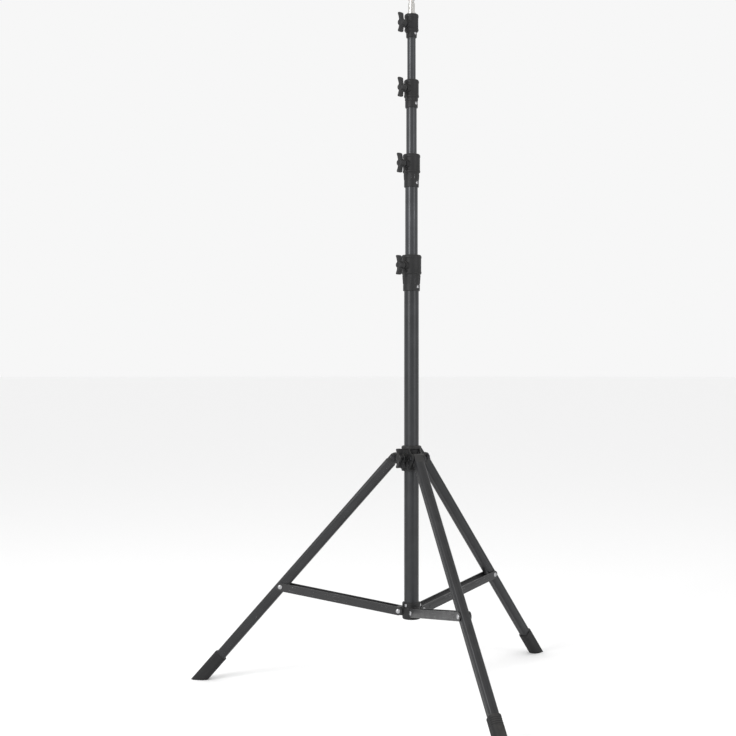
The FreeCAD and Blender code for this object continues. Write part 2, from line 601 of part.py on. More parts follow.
# ---- Brace hub and braces ------------------------------------------------------------------
def brace_hub():
    """Cast cup at the base tube's foot with three drilled tongues."""
    tube_r = TUBE_OD[0] / 2
    edge_r = BRACE_HUB_RING_R - BRACE_HUB_EDGE
    outside = [
        (0, BRACE_HUB_FLOOR_Z), (edge_r, BRACE_HUB_FLOOR_Z),
        (BRACE_HUB_RING_R, BRACE_HUB_FLOOR_Z + BRACE_HUB_EDGE),
        (BRACE_HUB_RING_R, BRACE_HUB_TOP_Z - BRACE_HUB_EDGE), (edge_r, BRACE_HUB_TOP_Z), (0, BRACE_HUB_TOP_Z),
    ]
    body = revolved(outside)
    reach = STRAP_WIDTH / 2
    tongue = cylinder(reach, Vector(BRACE_HUB_R, -LEG_WIDTH / 2, 0), Vector(0, 1, 0), LEG_WIDTH)
    web = Part.makeBox(BRACE_HUB_R - tube_r, LEG_WIDTH, 2 * reach, Vector(tube_r, -LEG_WIDTH / 2, -reach))
    hole = cylinder(RIVET_R + RUNNING, Vector(BRACE_HUB_R, -30, 0), Vector(0, 1, 0), 60)
    one = raised(tongue.fuse(web).cut(hole), BRACE_HUB_Z)
    for azimuth in LEG_AZIMUTH.values():
        body = body.fuse(turned(one, azimuth))
    seat = Part.makeCylinder(tube_r + SEAT, 80, Vector(0, 0, BASE_TUBE_FOOT_Z))
    vent = Part.makeCylinder(BRACE_HUB_VENT_R, 20, Vector(0, 0, BRACE_HUB_FLOOR_Z - 5))
    body = body.cut(seat).cut(vent)
    for z, azimuth in brace_hub_screw_places():
        body = body.cut(small_hole(z, azimuth, 40))
    return body


def strap_pair():
    """Two flat steel straps, one on each side of the leg."""
    half = STRAP_WIDTH / 2
    straps = []
    for side in (STRAP_INNER, -STRAP_OUTER):
        bar = Part.makeBox(STRAP_WIDTH, STRAP_THICKNESS, BRACE_LENGTH, Vector(-half, side, 0))
        for z in (0, BRACE_LENGTH):
            bar = bar.fuse(cylinder(half, Vector(0, side, z), Vector(0, 1, 0), STRAP_THICKNESS))
        for z in (0, BRACE_LENGTH):
            bar = bar.cut(cylinder(RIVET_R + SEAT, Vector(0, side - 1, z), Vector(0, 1, 0), 10))
        straps.append(on_brace(bar.removeSplitter()))
    return Part.makeCompound(straps)


def rivet_head(side, z):
    """Domed rivet head outside a strap."""
    sign = 1 if side > 0 else -1
    head = cylinder(RIVET_HEAD_R, Vector(0, side, z), Vector(0, sign, 0), RIVET_HEAD)
    outer = [e for e in head.Edges if isinstance(e.Curve, Part.Circle)
             and abs(e.CenterOfMass.y) > abs(side) + 1]
    return head.makeFillet(RIVET_HEAD_ROUND, outer)


def brace_rivets():
    """Rivet through the brace hub's tongue, and a short rivet in each strap's outer eye."""
    through = cylinder(RIVET_R, Vector(0, -STRAP_OUTER, 0), Vector(0, 1, 0), 2 * STRAP_OUTER)
    for side in (STRAP_OUTER, -STRAP_OUTER):
        through = through.fuse(rivet_head(side, 0))
    rivets = [on_brace(through.removeSplitter())]
    for sign in (1, -1):
        start = Vector(0, sign * STRAP_INNER, BRACE_LENGTH)
        shank = cylinder(RIVET_R, start, Vector(0, sign, 0), STRAP_THICKNESS)
        stub = shank.fuse(rivet_head(sign * STRAP_OUTER, BRACE_LENGTH))
        rivets.append(on_brace(stub.removeSplitter()))
    return Part.makeCompound(rivets)


# ---- Assembly ------------------------------------------------------------------------------
def base_screws():
    """Screws of the brace hub and of the base collar, all in the fixed column."""
    tube_r = TUBE_OD[0] / 2
    screws = [small_screw(BRACE_HUB_RING_R, tube_r - BRACE_HUB_SCREW_INSIDE, z, azimuth)
              for z, azimuth in brace_hub_screw_places()]
    return Part.makeCompound(screws + collar_screws(0).Solids)


def build():
    """Every node by name."""
    parts = {
        "base_tube": column_tube(0),
        "base_plug": base_plug(),
        "brace_hub": brace_hub(),
        "base_screws": base_screws(),
        "base_collar": collar(0),
        "base_collar_liner": collar_liner(0),
        "leg_hub": leg_hub(),
        "leg_hub_liner": leg_hub_liner(),
        "leg_pivot_bolts": Part.makeCompound([turned(leg_pivot_bolt(), a) for a in LEG_AZIMUTH.values()]),
        "leg_pivot_nuts": Part.makeCompound([turned(leg_pivot_nut(), a) for a in LEG_AZIMUTH.values()]),
        "top_socket": top_socket(),
        "spigot": spigot(),
    }
    hub_bore = TUBE_OD[0] / 2 + LINER_WALL
    clamp("leg_hub", hub_bore, hub_bore + SCREW_TIP_GAP, HUB_RING_R, LEG_PIVOT_Z, parts)
    for k, prefix in enumerate(("base_collar", "collar_1", "collar_2")):
        bore = TUBE_OD[k + 1] / 2 + LINER_WALL
        clamp(prefix, bore, bore + SCREW_TIP_GAP, CLAMP_RING_R[k], CLAMP_Z[k], parts)
    clamp("top_socket", SPIGOT_SHANK_R + SOCKET_WALL, SPIGOT_SHANK_R + SCREW_TIP_GAP, CLAMP_RING_R[3],
          CLAMP_Z[3], parts)
    for k in (1, 2, 3):
        parts["riser_%d_tube" % k] = column_tube(k)
        parts["riser_%d_guide_bush" % k] = guide_bush(k)
    for k in (1, 2):
        parts["collar_%d" % k] = collar(k)
        parts["collar_%d_liner" % k] = collar_liner(k)
        parts["collar_%d_screws" % k] = collar_screws(k)
    parts["top_socket_screws"] = collar_screws(3)
    pieces = (("leg_tube", leg_tube), ("leg_end", leg_end), ("foot", foot), ("brace_pin", brace_pin),
              ("brace_straps", strap_pair), ("brace_rivets", brace_rivets))
    for name, make in pieces:
        shape = make()
        for side, azimuth in LEG_AZIMUTH.items():
            parts[name + "_" + side] = turned(shape, azimuth)
    return parts


def folded_state():
    """Hub travel and brace angle that close the linkage with the legs folded."""
    leg = math.radians(FOLDED_LEG_ANGLE)
    out_r = LEG_PIVOT_R + BRACE_PIVOT_ALONG_LEG * math.sin(leg)
    brace = math.asin((out_r - BRACE_HUB_R) / BRACE_LENGTH)
    hub_z = BRACE_HUB_Z + BRACE_LENGTH * math.cos(brace) + BRACE_PIVOT_ALONG_LEG * math.cos(leg)
    return hub_z - LEG_PIVOT_Z, math.degrees(brace)


def main():
    os.makedirs("parts", exist_ok=True)
    parts = build()
    for name, shape in parts.items():
        if not shape.isValid() or not shape.Solids:
            raise RuntimeError(name + " is not a valid solid")
        shape.exportStep("parts/" + name + ".step")
    travel, brace = folded_state()
    print("nodes", len(parts))
    print("leg length %.2f, foot radius %.2f" % (LEG_LENGTH, LEG_PIVOT_R + LEG_LENGTH * SIN_LEG))
    print("brace length %.2f, spread angle %.3f, folded angle %.3f" % (BRACE_LENGTH, BRACE_ANGLE, brace))
    print("hub travel %.3f" % travel)


main()
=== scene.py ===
import json
import math

import bpy
from bpy.props import FloatProperty, FloatVectorProperty, PointerProperty
from mathutils import Matrix, Vector


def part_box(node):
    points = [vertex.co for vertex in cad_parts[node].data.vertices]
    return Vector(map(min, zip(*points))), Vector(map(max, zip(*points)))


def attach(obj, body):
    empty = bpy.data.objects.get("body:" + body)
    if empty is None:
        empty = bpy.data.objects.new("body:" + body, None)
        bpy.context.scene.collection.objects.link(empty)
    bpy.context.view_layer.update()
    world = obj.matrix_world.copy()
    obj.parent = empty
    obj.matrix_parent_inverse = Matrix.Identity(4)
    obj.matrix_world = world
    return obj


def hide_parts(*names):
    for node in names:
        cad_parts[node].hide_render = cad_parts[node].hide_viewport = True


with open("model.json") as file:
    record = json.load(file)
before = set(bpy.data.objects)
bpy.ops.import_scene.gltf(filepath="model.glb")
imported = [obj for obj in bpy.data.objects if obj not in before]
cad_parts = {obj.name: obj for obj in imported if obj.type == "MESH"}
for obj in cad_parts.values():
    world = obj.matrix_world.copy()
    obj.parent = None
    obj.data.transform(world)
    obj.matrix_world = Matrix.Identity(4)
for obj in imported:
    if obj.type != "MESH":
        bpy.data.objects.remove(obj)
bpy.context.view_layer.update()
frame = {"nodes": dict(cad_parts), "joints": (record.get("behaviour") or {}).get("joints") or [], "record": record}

bl_info = {
    "name": "Telescopic Light Stand",
    "version": (1, 0, 0),
    "blender": (4, 5, 0),
    "location": "3D View > Sidebar > Light Stand",
    "description": "Builds and finishes a folding light stand round its CAD frame",
    "category": "Object",
}

# ---- Places read from the frame -----------------------------------------------------------
JOINTS = {joint["name"]: joint for joint in frame["joints"]}
MOUNTS = {mount["name"]: mount for mount in frame["record"]["mounts"]}
SIDES = ("front", "left", "right")
MM = 0.001
QUARTER = math.pi / 2


def joint_place(name):
    """Point that a hinge turns about."""
    return Vector(JOINTS[name]["pos_m"])


def middle(node):
    """Centre of a CAD node's box."""
    low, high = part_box(node)
    return (low + high) / 2


def tube_radius(node):
    """Outer radius of a round tube on the column's axis."""
    low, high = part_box(node)
    return (high.x - low.x) / 2


KNOB_TURN = JOINTS["base_collar_knob_turn"]["axis"]
KNOB_AZIMUTH = math.atan2(KNOB_TURN[1], KNOB_TURN[0])
AZIMUTH = {side: math.atan2(*joint_place(f"leg_{side}_fold").yx) for side in SIDES}
LEG_PIVOT = joint_place("leg_front_fold")
LEG_PIVOT_R = LEG_PIVOT.xy.length
SOLE_R = Vector(MOUNTS["foot_front_sole"]["pos_m"]).xy.length
LEG_ANGLE = math.atan2(SOLE_R - LEG_PIVOT_R, LEG_PIVOT.z)
LEG_LENGTH = math.hypot(SOLE_R - LEG_PIVOT_R, LEG_PIVOT.z)
BRACE_PIVOT = joint_place("brace_front_fold")
BRACE_PIVOT_R = BRACE_PIVOT.xy.length
BRACE_EYE = middle("brace_pin_front")
BRACE_RISE = BRACE_EYE.z - BRACE_PIVOT.z
BRACE_REACH = BRACE_EYE.xy.length - BRACE_PIVOT_R
BRACE_ANGLE = math.atan2(BRACE_REACH, BRACE_RISE)
BRACE_LENGTH = math.hypot(BRACE_REACH, BRACE_RISE)
BRACE_DOWN_LEG = math.hypot(BRACE_EYE.xy.length - LEG_PIVOT_R, LEG_PIVOT.z - BRACE_EYE.z)


# ---- User settings ------------------------------------------------------------------------
def length(name, text, default):
    """Length setting in metres."""
    return FloatProperty(name=name, description=text, default=default, min=0.0, unit="LENGTH")


def colour(name, text, default):
    """Linear colour setting."""
    return FloatVectorProperty(name=name, description=text, default=default, size=3,
                               subtype="COLOR", min=0.0, max=1.0)


class StandSizes(bpy.types.PropertyGroup):
    """Sizes of the stand's pieces, in metres."""
    tube_wall: length("Tube wall", "Wall of the column's round tubes", 0.0015)
    liner_wall: length("Liner wall", "Wall of the plastic sleeves in the collars", 0.002)
    skirt_wall: length("Skirt wall", "Wall of a collar's skirt round its lower tube", 0.0026)
    screw_radius: length("Clamp screw radius", "Radius of the clamp screws", 0.004)
    insert_radius: length("Insert radius", "Radius of the clamp screw's threaded bush", 0.006)
    knob_span: length("Knob span", "Knob's width over both wings", 0.046)
    knob_thickness: length("Knob thickness", "Thickness of the knob's wings", 0.009)
    leg_depth: length("Leg depth", "Leg tube's size in the leg's own plane", 0.025)
    leg_width: length("Leg width", "Leg tube's size across that plane", 0.022)
    leg_corner: length("Leg corner", "Radius of the leg tube's corners", 0.006)
    foot_depth: length("Foot depth", "Rubber foot's size in the leg's plane", 0.032)
    foot_width: length("Foot width", "Rubber foot's size across that plane", 0.028)
    strap_width: length("Strap width", "Width of a brace strap", 0.020)
    strap_thickness: length("Strap thickness", "Thickness of a brace strap", 0.0025)
    ear_thickness: length("Ear thickness", "Thickness of the leg hub's ears", 0.004)


class StandFinishes(bpy.types.PropertyGroup):
    """Colours of the stand's finishes."""
    anodised: colour("Anodised tube", "Black anodised column tubes", (0.020, 0.021, 0.023))
    leg: colour("Anodised leg", "Black anodised leg tubes", (0.016, 0.0165, 0.018))
    casting: colour("Powder coat", "Textured black coat on the castings", (0.0085, 0.0085, 0.009))
    enamel: colour("Enamel", "Semi-gloss black enamel on the straps", (0.012, 0.012, 0.013))
    nylon: colour("Nylon", "Moulded black nylon of knobs and leg ends", (0.011, 0.011, 0.0115))
    rubber: colour("Rubber", "Rubber of the feet", (0.0075, 0.0075, 0.008))
    metal: colour("Bare metal", "Aluminium that shows where the finish is worn", (0.42, 0.42, 0.43))
    dust: colour("Dust", "Dust that settles on upward faces", (0.30, 0.28, 0.25))


class StageSettings(bpy.types.PropertyGroup):
    """Floor, light and camera."""
    floor: colour("Floor", "Colour of the studio floor", (0.96, 0.96, 0.96))
    distance: length("Camera distance", "From the column's axis to the camera", 3.0)
    height: length("Camera height", "Camera's height above the floor", 0.775)
    lens: FloatProperty(name="Lens", description="Focal length in millimetres", default=61.5,
                        min=10.0, unit="CAMERA")
    azimuth: FloatProperty(name="Camera azimuth", description="Direction from the column to the camera",
                           default=math.radians(249.5), subtype="ANGLE")
    key_power: FloatProperty(name="Key light", description="Power of the key light in watts",
                             default=60.0, min=0.0)
    fill_share: FloatProperty(name="Fill light", description="Fill light's share of the key light's power",
                              default=0.3, min=0.0)
    surroundings: FloatProperty(name="Surroundings", description="Strength of the white surroundings",
                                default=0.93, min=0.0)


# ---- Modelling tools ----------------------------------------------------------------------
def deselect():
    """Object mode, with nothing selected."""
    active = bpy.context.view_layer.objects.active
    if active and active.mode != "OBJECT":
        bpy.ops.object.mode_set(mode="OBJECT")
    bpy.ops.object.select_all(action="DESELECT")


def select(piece):
    """One piece selected and active."""
    deselect()
    piece.select_set(True)
    bpy.context.view_layer.objects.active = piece


def edit(piece):
    """Edit mode on a piece, all of it selected."""
    select(piece)
    bpy.ops.object.mode_set(mode="EDIT")
    bpy.ops.mesh.select_all(action="SELECT")


def done():
    """Back to object mode; the edited piece, its transform applied."""
    piece = bpy.context.view_layer.objects.active
    bpy.ops.object.mode_set(mode="OBJECT")
    select(piece)
    bpy.ops.object.transform_apply(location=True, rotation=True, scale=True)
    return piece


def closed(name):
    """Ends edit mode on a lofted piece: doubles merged, open rings filled, faces outward."""
    bpy.ops.mesh.select_all(action="SELECT")
    bpy.ops.mesh.remove_doubles(threshold=1e-6)
    bpy.ops.mesh.fill_holes(sides=0)
    bpy.ops.mesh.select_all(action="SELECT")
    bpy.ops.mesh.normals_make_consistent(inside=False)
    piece = done()
    piece.name = name
    return piece


def lofted(stations):
    """Extrudes the selected ring through stations of (x size, y size, z) and resizes it at each."""
    across, along, height = stations[0]
    for next_across, next_along, next_height in stations[1:]:
        bpy.ops.mesh.extrude_region_move(
            TRANSFORM_OT_translate={"value": (0, 0, next_height - height)})
        bpy.ops.transform.resize(value=(next_across / across, next_along / along, 1),
                                 center_override=(0, 0, next_height))
        across, along, height = next_across, next_along, next_height


def in_mm(*points):
    """Points given in millimetres."""
    return [tuple(value * MM for value in point) for point in points]


def turned(name, profile, segments=64):
    """Turned piece round Z from (radius, height) stations; it is hollow if the last is the first."""
    deselect()
    radius, height = profile[0]
    bpy.ops.mesh.primitive_circle_add(vertices=segments, radius=radius, location=(0, 0, height))
    bpy.ops.object.mode_set(mode="EDIT")
    bpy.ops.mesh.select_all(action="SELECT")
    lofted([(r, r, z) for r, z in profile])
    return closed(name)


def drawn(name, corner, stations, steps=6):
    """Bar along Z with a rounded rectangular section that follows (x size, y size, z) stations."""
    deselect()
    across, along, height = stations[0]
    bpy.ops.mesh.primitive_plane_add(size=1, location=(0, 0, height))
    plane = bpy.context.object
    plane.scale = (across, along, 1)
    bpy.ops.object.transform_apply(location=True, rotation=False, scale=True)
    edit(plane)
    bpy.ops.mesh.bevel(offset=corner, segments=steps, affect="VERTICES")
    bpy.ops.mesh.delete(type="ONLY_FACE")
    bpy.ops.mesh.select_all(action="SELECT")
    lofted(stations)
    return closed(name)


def block(size, place, turn=(0, 0, 0)):
    """Box of a size at a place."""
    deselect()
    bpy.ops.mesh.primitive_cube_add(size=1, location=place, rotation=turn)
    box = bpy.context.object
    box.scale = size
    bpy.ops.object.transform_apply(location=True, rotation=True, scale=True)
    return box


def rod(radius, start, end, sides=48, end_radius=None):
    """Round rod or cone from one point to another."""
    deselect()
    start, end = Vector(start), Vector(end)
    run = end - start
    turn = run.to_track_quat("Z", "Y").to_euler()
    bpy.ops.mesh.primitive_cone_add(vertices=sides, radius1=radius, depth=run.length,
                                    radius2=radius if end_radius is None else end_radius,
                                    location=(start + end) / 2, rotation=turn)
    bpy.ops.object.transform_apply(location=True, rotation=True, scale=True)
    return bpy.context.object


def stadium(radius, start, end, low, high):
    """Flat bar with round ends, along Z from one centre to the other, between two y faces."""
    deselect()
    sides = 48
    bpy.ops.mesh.primitive_circle_add(vertices=sides, radius=radius, fill_type="NGON",
                                      location=(0, low, start),
                                      rotation=(QUARTER, math.pi / sides, 0))
    plate = bpy.context.object
    bpy.ops.object.transform_apply(location=True, rotation=True, scale=True)
    edit(plate)
    bpy.ops.mesh.select_all(action="DESELECT")
    bpy.ops.object.mode_set(mode="OBJECT")
    for vertex in plate.data.vertices:
        vertex.select = vertex.co.z > start
    bpy.ops.object.mode_set(mode="EDIT")
    bpy.ops.transform.translate(value=(0, 0, end - start))
    bpy.ops.mesh.select_all(action="SELECT")
    bpy.ops.mesh.extrude_region_move(TRANSFORM_OT_translate={"value": (0, high - low, 0)})
    bpy.ops.mesh.select_all(action="SELECT")
    bpy.ops.mesh.normals_make_consistent(inside=False)
    return done()


def modified(piece, kind, **values):
    """Adds a modifier with its values and applies it."""
    select(piece)
    modifier = piece.modifiers.new(kind.lower(), kind)
    for name, value in values.items():
        setattr(modifier, name, value)
    bpy.ops.object.modifier_apply(modifier=modifier.name)
    return piece


def rounded(piece, width, segments=3, angle=30.0):
    """Rounds the edges that are sharper than an angle."""
    return modified(piece, "BEVEL", width=width, segments=segments, limit_method="ANGLE",
                    angle_limit=math.radians(angle), use_clamp_overlap=True)


def sliced(piece, point, normal):
    """Cuts away what lies beyond a plane, and closes the cut."""
    edit(piece)
    bpy.ops.mesh.bisect(plane_co=point, plane_no=normal, use_fill=True, clear_outer=True, threshold=1e-7)
    bpy.ops.object.mode_set(mode="OBJECT")
    return piece


def volume(piece):
    """Volume inside a closed mesh, negative where it is inside out."""
    mesh = piece.data
    mesh.calc_loop_triangles()
    corners = [[mesh.vertices[index].co for index in face.vertices] for face in mesh.loop_triangles]
    return sum(a.dot(b.cross(c)) for a, b, c in corners) / 6


def cut(piece, *cutters, operation="DIFFERENCE"):
    """Boolean with each cutter in turn; the cutters are used up."""
    for cutter in cutters:
        modified(piece, "BOOLEAN", object=cutter, operation=operation, solver="EXACT")
        bpy.data.objects.remove(cutter)
        if volume(piece) <= 0:
            raise RuntimeError(piece.name + " came out of a boolean inside out")
    return piece


def joined(name, parts):
    """Several meshes as one object."""
    select(parts[0])
    for part in parts[1:]:
        part.select_set(True)
    if len(parts) > 1:
        bpy.ops.object.join()
    piece = bpy.context.object
    piece.name = name
    return piece


def cast(name, parts, grain=0.6 * MM, softness=4, keep=0.5):
    """Overlapping shapes fused into one skin with cast fillets where they meet."""
    piece = joined(name, parts)
    modified(piece, "REMESH", mode="VOXEL", voxel_size=grain)
    modified(piece, "SMOOTH", factor=0.5, iterations=softness)
    if keep < 1.0:
        modified(piece, "DECIMATE", ratio=keep)
    return piece


def copied(piece, name):
    """Copy of a piece with its own mesh."""
    copy = piece.copy()
    copy.data = piece.data.copy()
    copy.name = name
    bpy.context.scene.collection.objects.link(copy)
    return copy


def moved(piece, place):
    """Moves a piece's mesh, and leaves its object at the origin."""
    piece.data.transform(place)
    return piece


def on_side(piece, side, distance, along):
    """A piece that stands up from z = 0, laid against the side of a brace, leg or ear."""
    place = Matrix.Translation((0, side * distance, along)) @ Matrix.Rotation(-side * QUARTER, 4, "X")
    return moved(piece, place)


def about_z(angle):
    """Turn about the column's axis."""
    return Matrix.Rotation(angle, 4, "Z")


def clamp_place(height):
    """Place of a clamp's own frame, whose +X runs out along the clamp screw."""
    return Matrix.Translation((0, 0, height)) @ about_z(KNOB_AZIMUTH)


def pivot_place(side):
    """Place of a leg's pivot, its bolt along Y."""
    return about_z(AZIMUTH[side]) @ Matrix.Translation((LEG_PIVOT_R, 0, LEG_PIVOT.z))


def leg_place(side):
    """Place of a leg's own frame: pivot at the origin, leg down along -Z."""
    return pivot_place(side) @ Matrix.Rotation(-LEG_ANGLE, 4, "Y")


def brace_place(side):
    """Place of a brace's own frame: hub pivot at the origin, brace up along +Z."""
    pivot = Matrix.Translation((BRACE_PIVOT_R, 0, BRACE_PIVOT.z))
    return about_z(AZIMUTH[side]) @ pivot @ Matrix.Rotation(BRACE_ANGLE, 4, "Y")


def finished(piece, name, body, material, place=None, replaces=(), smooth=32.0):
    """Last steps of a piece: its own coordinates kept, shading, place, material, body."""
    select(piece)
    bpy.ops.object.shade_smooth_by_angle(angle=math.radians(smooth))
    modified(piece, "WEIGHTED_NORMAL", keep_sharp=True)
    mesh = piece.data
    own = mesh.attributes.new("own", "FLOAT_VECTOR", "POINT")
    own.data.foreach_set("vector", [c for vertex in mesh.vertices for c in vertex.co])
    mesh.materials.clear()
    mesh.materials.append(material)
    piece.name = name
    mesh.name = name
    if place is not None:
        mesh.transform(place)
    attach(piece, body)
    if replaces:
        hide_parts(*replaces)
    return piece


def on_each_side(pattern, stem, bodies, finish, place, node):
    """A copy of a pattern on each leg's or brace's body; the pattern is used up."""
    for side in SIDES:
        name = f"{stem}_{side}"
        finished(copied(pattern, name), name, f"{bodies}_{side}", MATERIALS[finish], place(side),
                 (f"{node}_{side}",))
    bpy.data.objects.remove(pattern)


def facing(angle, *pieces):
    """Pieces turned about the column to face an angle."""
    return [moved(piece, about_z(angle)) for piece in pieces]


# ---- Shader groups ------------------------------------------------------------------------
def group(name, outputs, **numbers):
    """Node group fed by a vector and numbers: its tree, its two end nodes and its vector."""
    tree = bpy.data.node_groups.new(name, "ShaderNodeTree")
    tree.interface.new_socket("Vector", in_out="INPUT", socket_type="NodeSocketVector")
    for label, default in numbers.items():
        socket = tree.interface.new_socket(label, in_out="INPUT", socket_type="NodeSocketFloat")
        socket.default_value = default
    for label in outputs:
        tree.interface.new_socket(label, in_out="OUTPUT", socket_type="NodeSocketFloat")
    start, end = tree.nodes.new("NodeGroupInput"), tree.nodes.new("NodeGroupOutput")
    return tree, start, end, start.outputs["Vector"]


def plug(tree, value, socket):
    """Sets a socket to a number, or feeds it from another socket."""
    if isinstance(value, (int, float)):
        socket.default_value = value
    else:
        tree.links.new(value, socket)


def noise(tree, vector, scale, detail=4.0, rough=0.55):
    """Noise texture on a vector."""
    node = tree.nodes.new("ShaderNodeTexNoise")
    for label, value in (("Vector", vector), ("Scale", scale), ("Detail", detail), ("Roughness", rough)):
        plug(tree, value, node.inputs[label])
    return node.outputs["Fac"]


def maths(tree, operation, a, b, clamp=False):
    """Math node."""
    node = tree.nodes.new("ShaderNodeMath")
    node.operation = operation
    node.use_clamp = clamp
    plug(tree, a, node.inputs[0])
    plug(tree, b, node.inputs[1])
    return node.outputs[0]


def spread(tree, value, low, high, to_low=0.0, to_high=1.0):
    """Map Range node, clamped and smooth."""
    node = tree.nodes.new("ShaderNodeMapRange")
    node.interpolation_type = "SMOOTHSTEP"
    for label, number in (("Value", value), ("From Min", low), ("From Max", high),
                          ("To Min", to_low), ("To Max", to_high)):
        plug(tree, number, node.inputs[label])
    return node.outputs["Result"]


def stretched(tree, vector, scale):
    """Vector scaled by different amounts along its axes."""
    node = tree.nodes.new("ShaderNodeVectorMath")
    node.operation = "MULTIPLY"
    node.inputs[1].default_value = scale
    tree.links.new(vector, node.inputs[0])
    return node.outputs["Vector"]


def edge_wear_group():
    """Mask of the worn paint on sharp outer edges, broken up by noise."""
    tree, start, end, vector = group("Edge Wear", ("Mask",), Radius=0.0006, Amount=0.5)
    bevel = tree.nodes.new("ShaderNodeBevel")
    bevel.samples = 4
    tree.links.new(start.outputs["Radius"], bevel.inputs["Radius"])
    geometry = tree.nodes.new("ShaderNodeNewGeometry")
    alike = tree.nodes.new("ShaderNodeVectorMath")
    alike.operation = "DOT_PRODUCT"
    tree.links.new(bevel.outputs["Normal"], alike.inputs[0])
    tree.links.new(geometry.outputs["Normal"], alike.inputs[1])
    edge = spread(tree, alike.outputs["Value"], 0.995, 0.93)
    chips = noise(tree, vector, 260.0, 6.0, 0.7)
    places = noise(tree, vector, 22.0, 2.0)
    worn = maths(tree, "ADD", maths(tree, "MULTIPLY", chips, 0.6), maths(tree, "MULTIPLY", places, 0.6))
    limit = maths(tree, "SUBTRACT", 1.0, maths(tree, "MULTIPLY", start.outputs["Amount"], 0.6))
    broken = spread(tree, worn, limit, maths(tree, "ADD", limit, 0.06))
    tree.links.new(maths(tree, "MULTIPLY", edge, broken), end.inputs["Mask"])
    return tree


def dust_group():
    """Mask of the dust on faces that look up, thicker in patches."""
    tree, start, end, vector = group("Settled Dust", ("Mask",), Amount=0.2)
    place = tree.nodes.new("ShaderNodeTexCoord")
    axes = tree.nodes.new("ShaderNodeSeparateXYZ")
    tree.links.new(place.outputs["Normal"], axes.inputs["Vector"])
    upward = spread(tree, axes.outputs["Z"], 0.25, 0.95)
    patches = spread(tree, noise(tree, vector, 60.0, 5.0, 0.65), 0.35, 0.75, 0.35)
    specks = spread(tree, noise(tree, vector, 1500.0, 2.0, 0.5), 0.66, 0.74)
    lying = maths(tree, "MULTIPLY", upward, patches)
    loose = maths(tree, "ADD", lying, maths(tree, "MULTIPLY", specks, 0.30))
    tree.links.new(maths(tree, "MULTIPLY", loose, start.outputs["Amount"], clamp=True), end.inputs["Mask"])
    return tree


def grain_group():
    """Height and tone of a fine grain, such as powder coat, moulded nylon or rubber."""
    tree, start, end, vector = group("Fine Grain", ("Height", "Tone"), Scale=1200.0)
    fine = noise(tree, vector, start.outputs["Scale"], 2.0, 0.5)
    coarse = noise(tree, vector, maths(tree, "MULTIPLY", start.outputs["Scale"], 0.22), 3.0, 0.6)
    tree.links.new(maths(tree, "ADD", fine, maths(tree, "MULTIPLY", coarse, 0.6)), end.inputs["Height"])
    tree.links.new(spread(tree, noise(tree, vector, 35.0, 4.0), 0.3, 0.7), end.inputs["Tone"])
    return tree


def drawn_lines_group():
    """Fine lines along a drawn tube, and long rub marks where another tube has slid on it."""
    tree, start, end, vector = group("Drawn Lines", ("Height", "Marks"), Scale=900.0, Rub=0.5)
    along = stretched(tree, vector, (1.0, 1.0, 0.012))
    tree.links.new(noise(tree, along, start.outputs["Scale"], 3.0, 0.6), end.inputs["Height"])
    runs = stretched(tree, vector, (1.0, 1.0, 0.035))
    scratches = spread(tree, noise(tree, runs, 620.0, 2.0, 0.5), 0.66, 0.72)
    patches = spread(tree, noise(tree, vector, 14.0, 3.0), 0.45, 0.70)
    rubbed = maths(tree, "MULTIPLY", maths(tree, "MULTIPLY", scratches, patches), start.outputs["Rub"])
    tree.links.new(rubbed, end.inputs["Marks"])
    return tree


def turned_rings_group():
    """Fine rings that a lathe leaves round a turned piece, and their uneven polish."""
    tree, start, end, vector = group("Turned Rings", ("Height", "Tone"), Scale=3000.0)
    rings = stretched(tree, vector, (0.02, 0.02, 1.0))
    tree.links.new(noise(tree, rings, start.outputs["Scale"], 2.0, 0.5), end.inputs["Height"])
    tree.links.new(spread(tree, noise(tree, vector, 90.0, 5.0, 0.65), 0.35, 0.7), end.inputs["Tone"])
    return tree


# ---- Materials ----------------------------------------------------------------------------
GROUPS = {}
MATERIALS = {}
STEEL, BLACK_STEEL = (0.46, 0.46, 0.47), (0.035, 0.035, 0.038)
NICKEL, BRASS, ACETAL = (0.60, 0.59, 0.57), (0.55, 0.38, 0.15), (0.62, 0.60, 0.54)


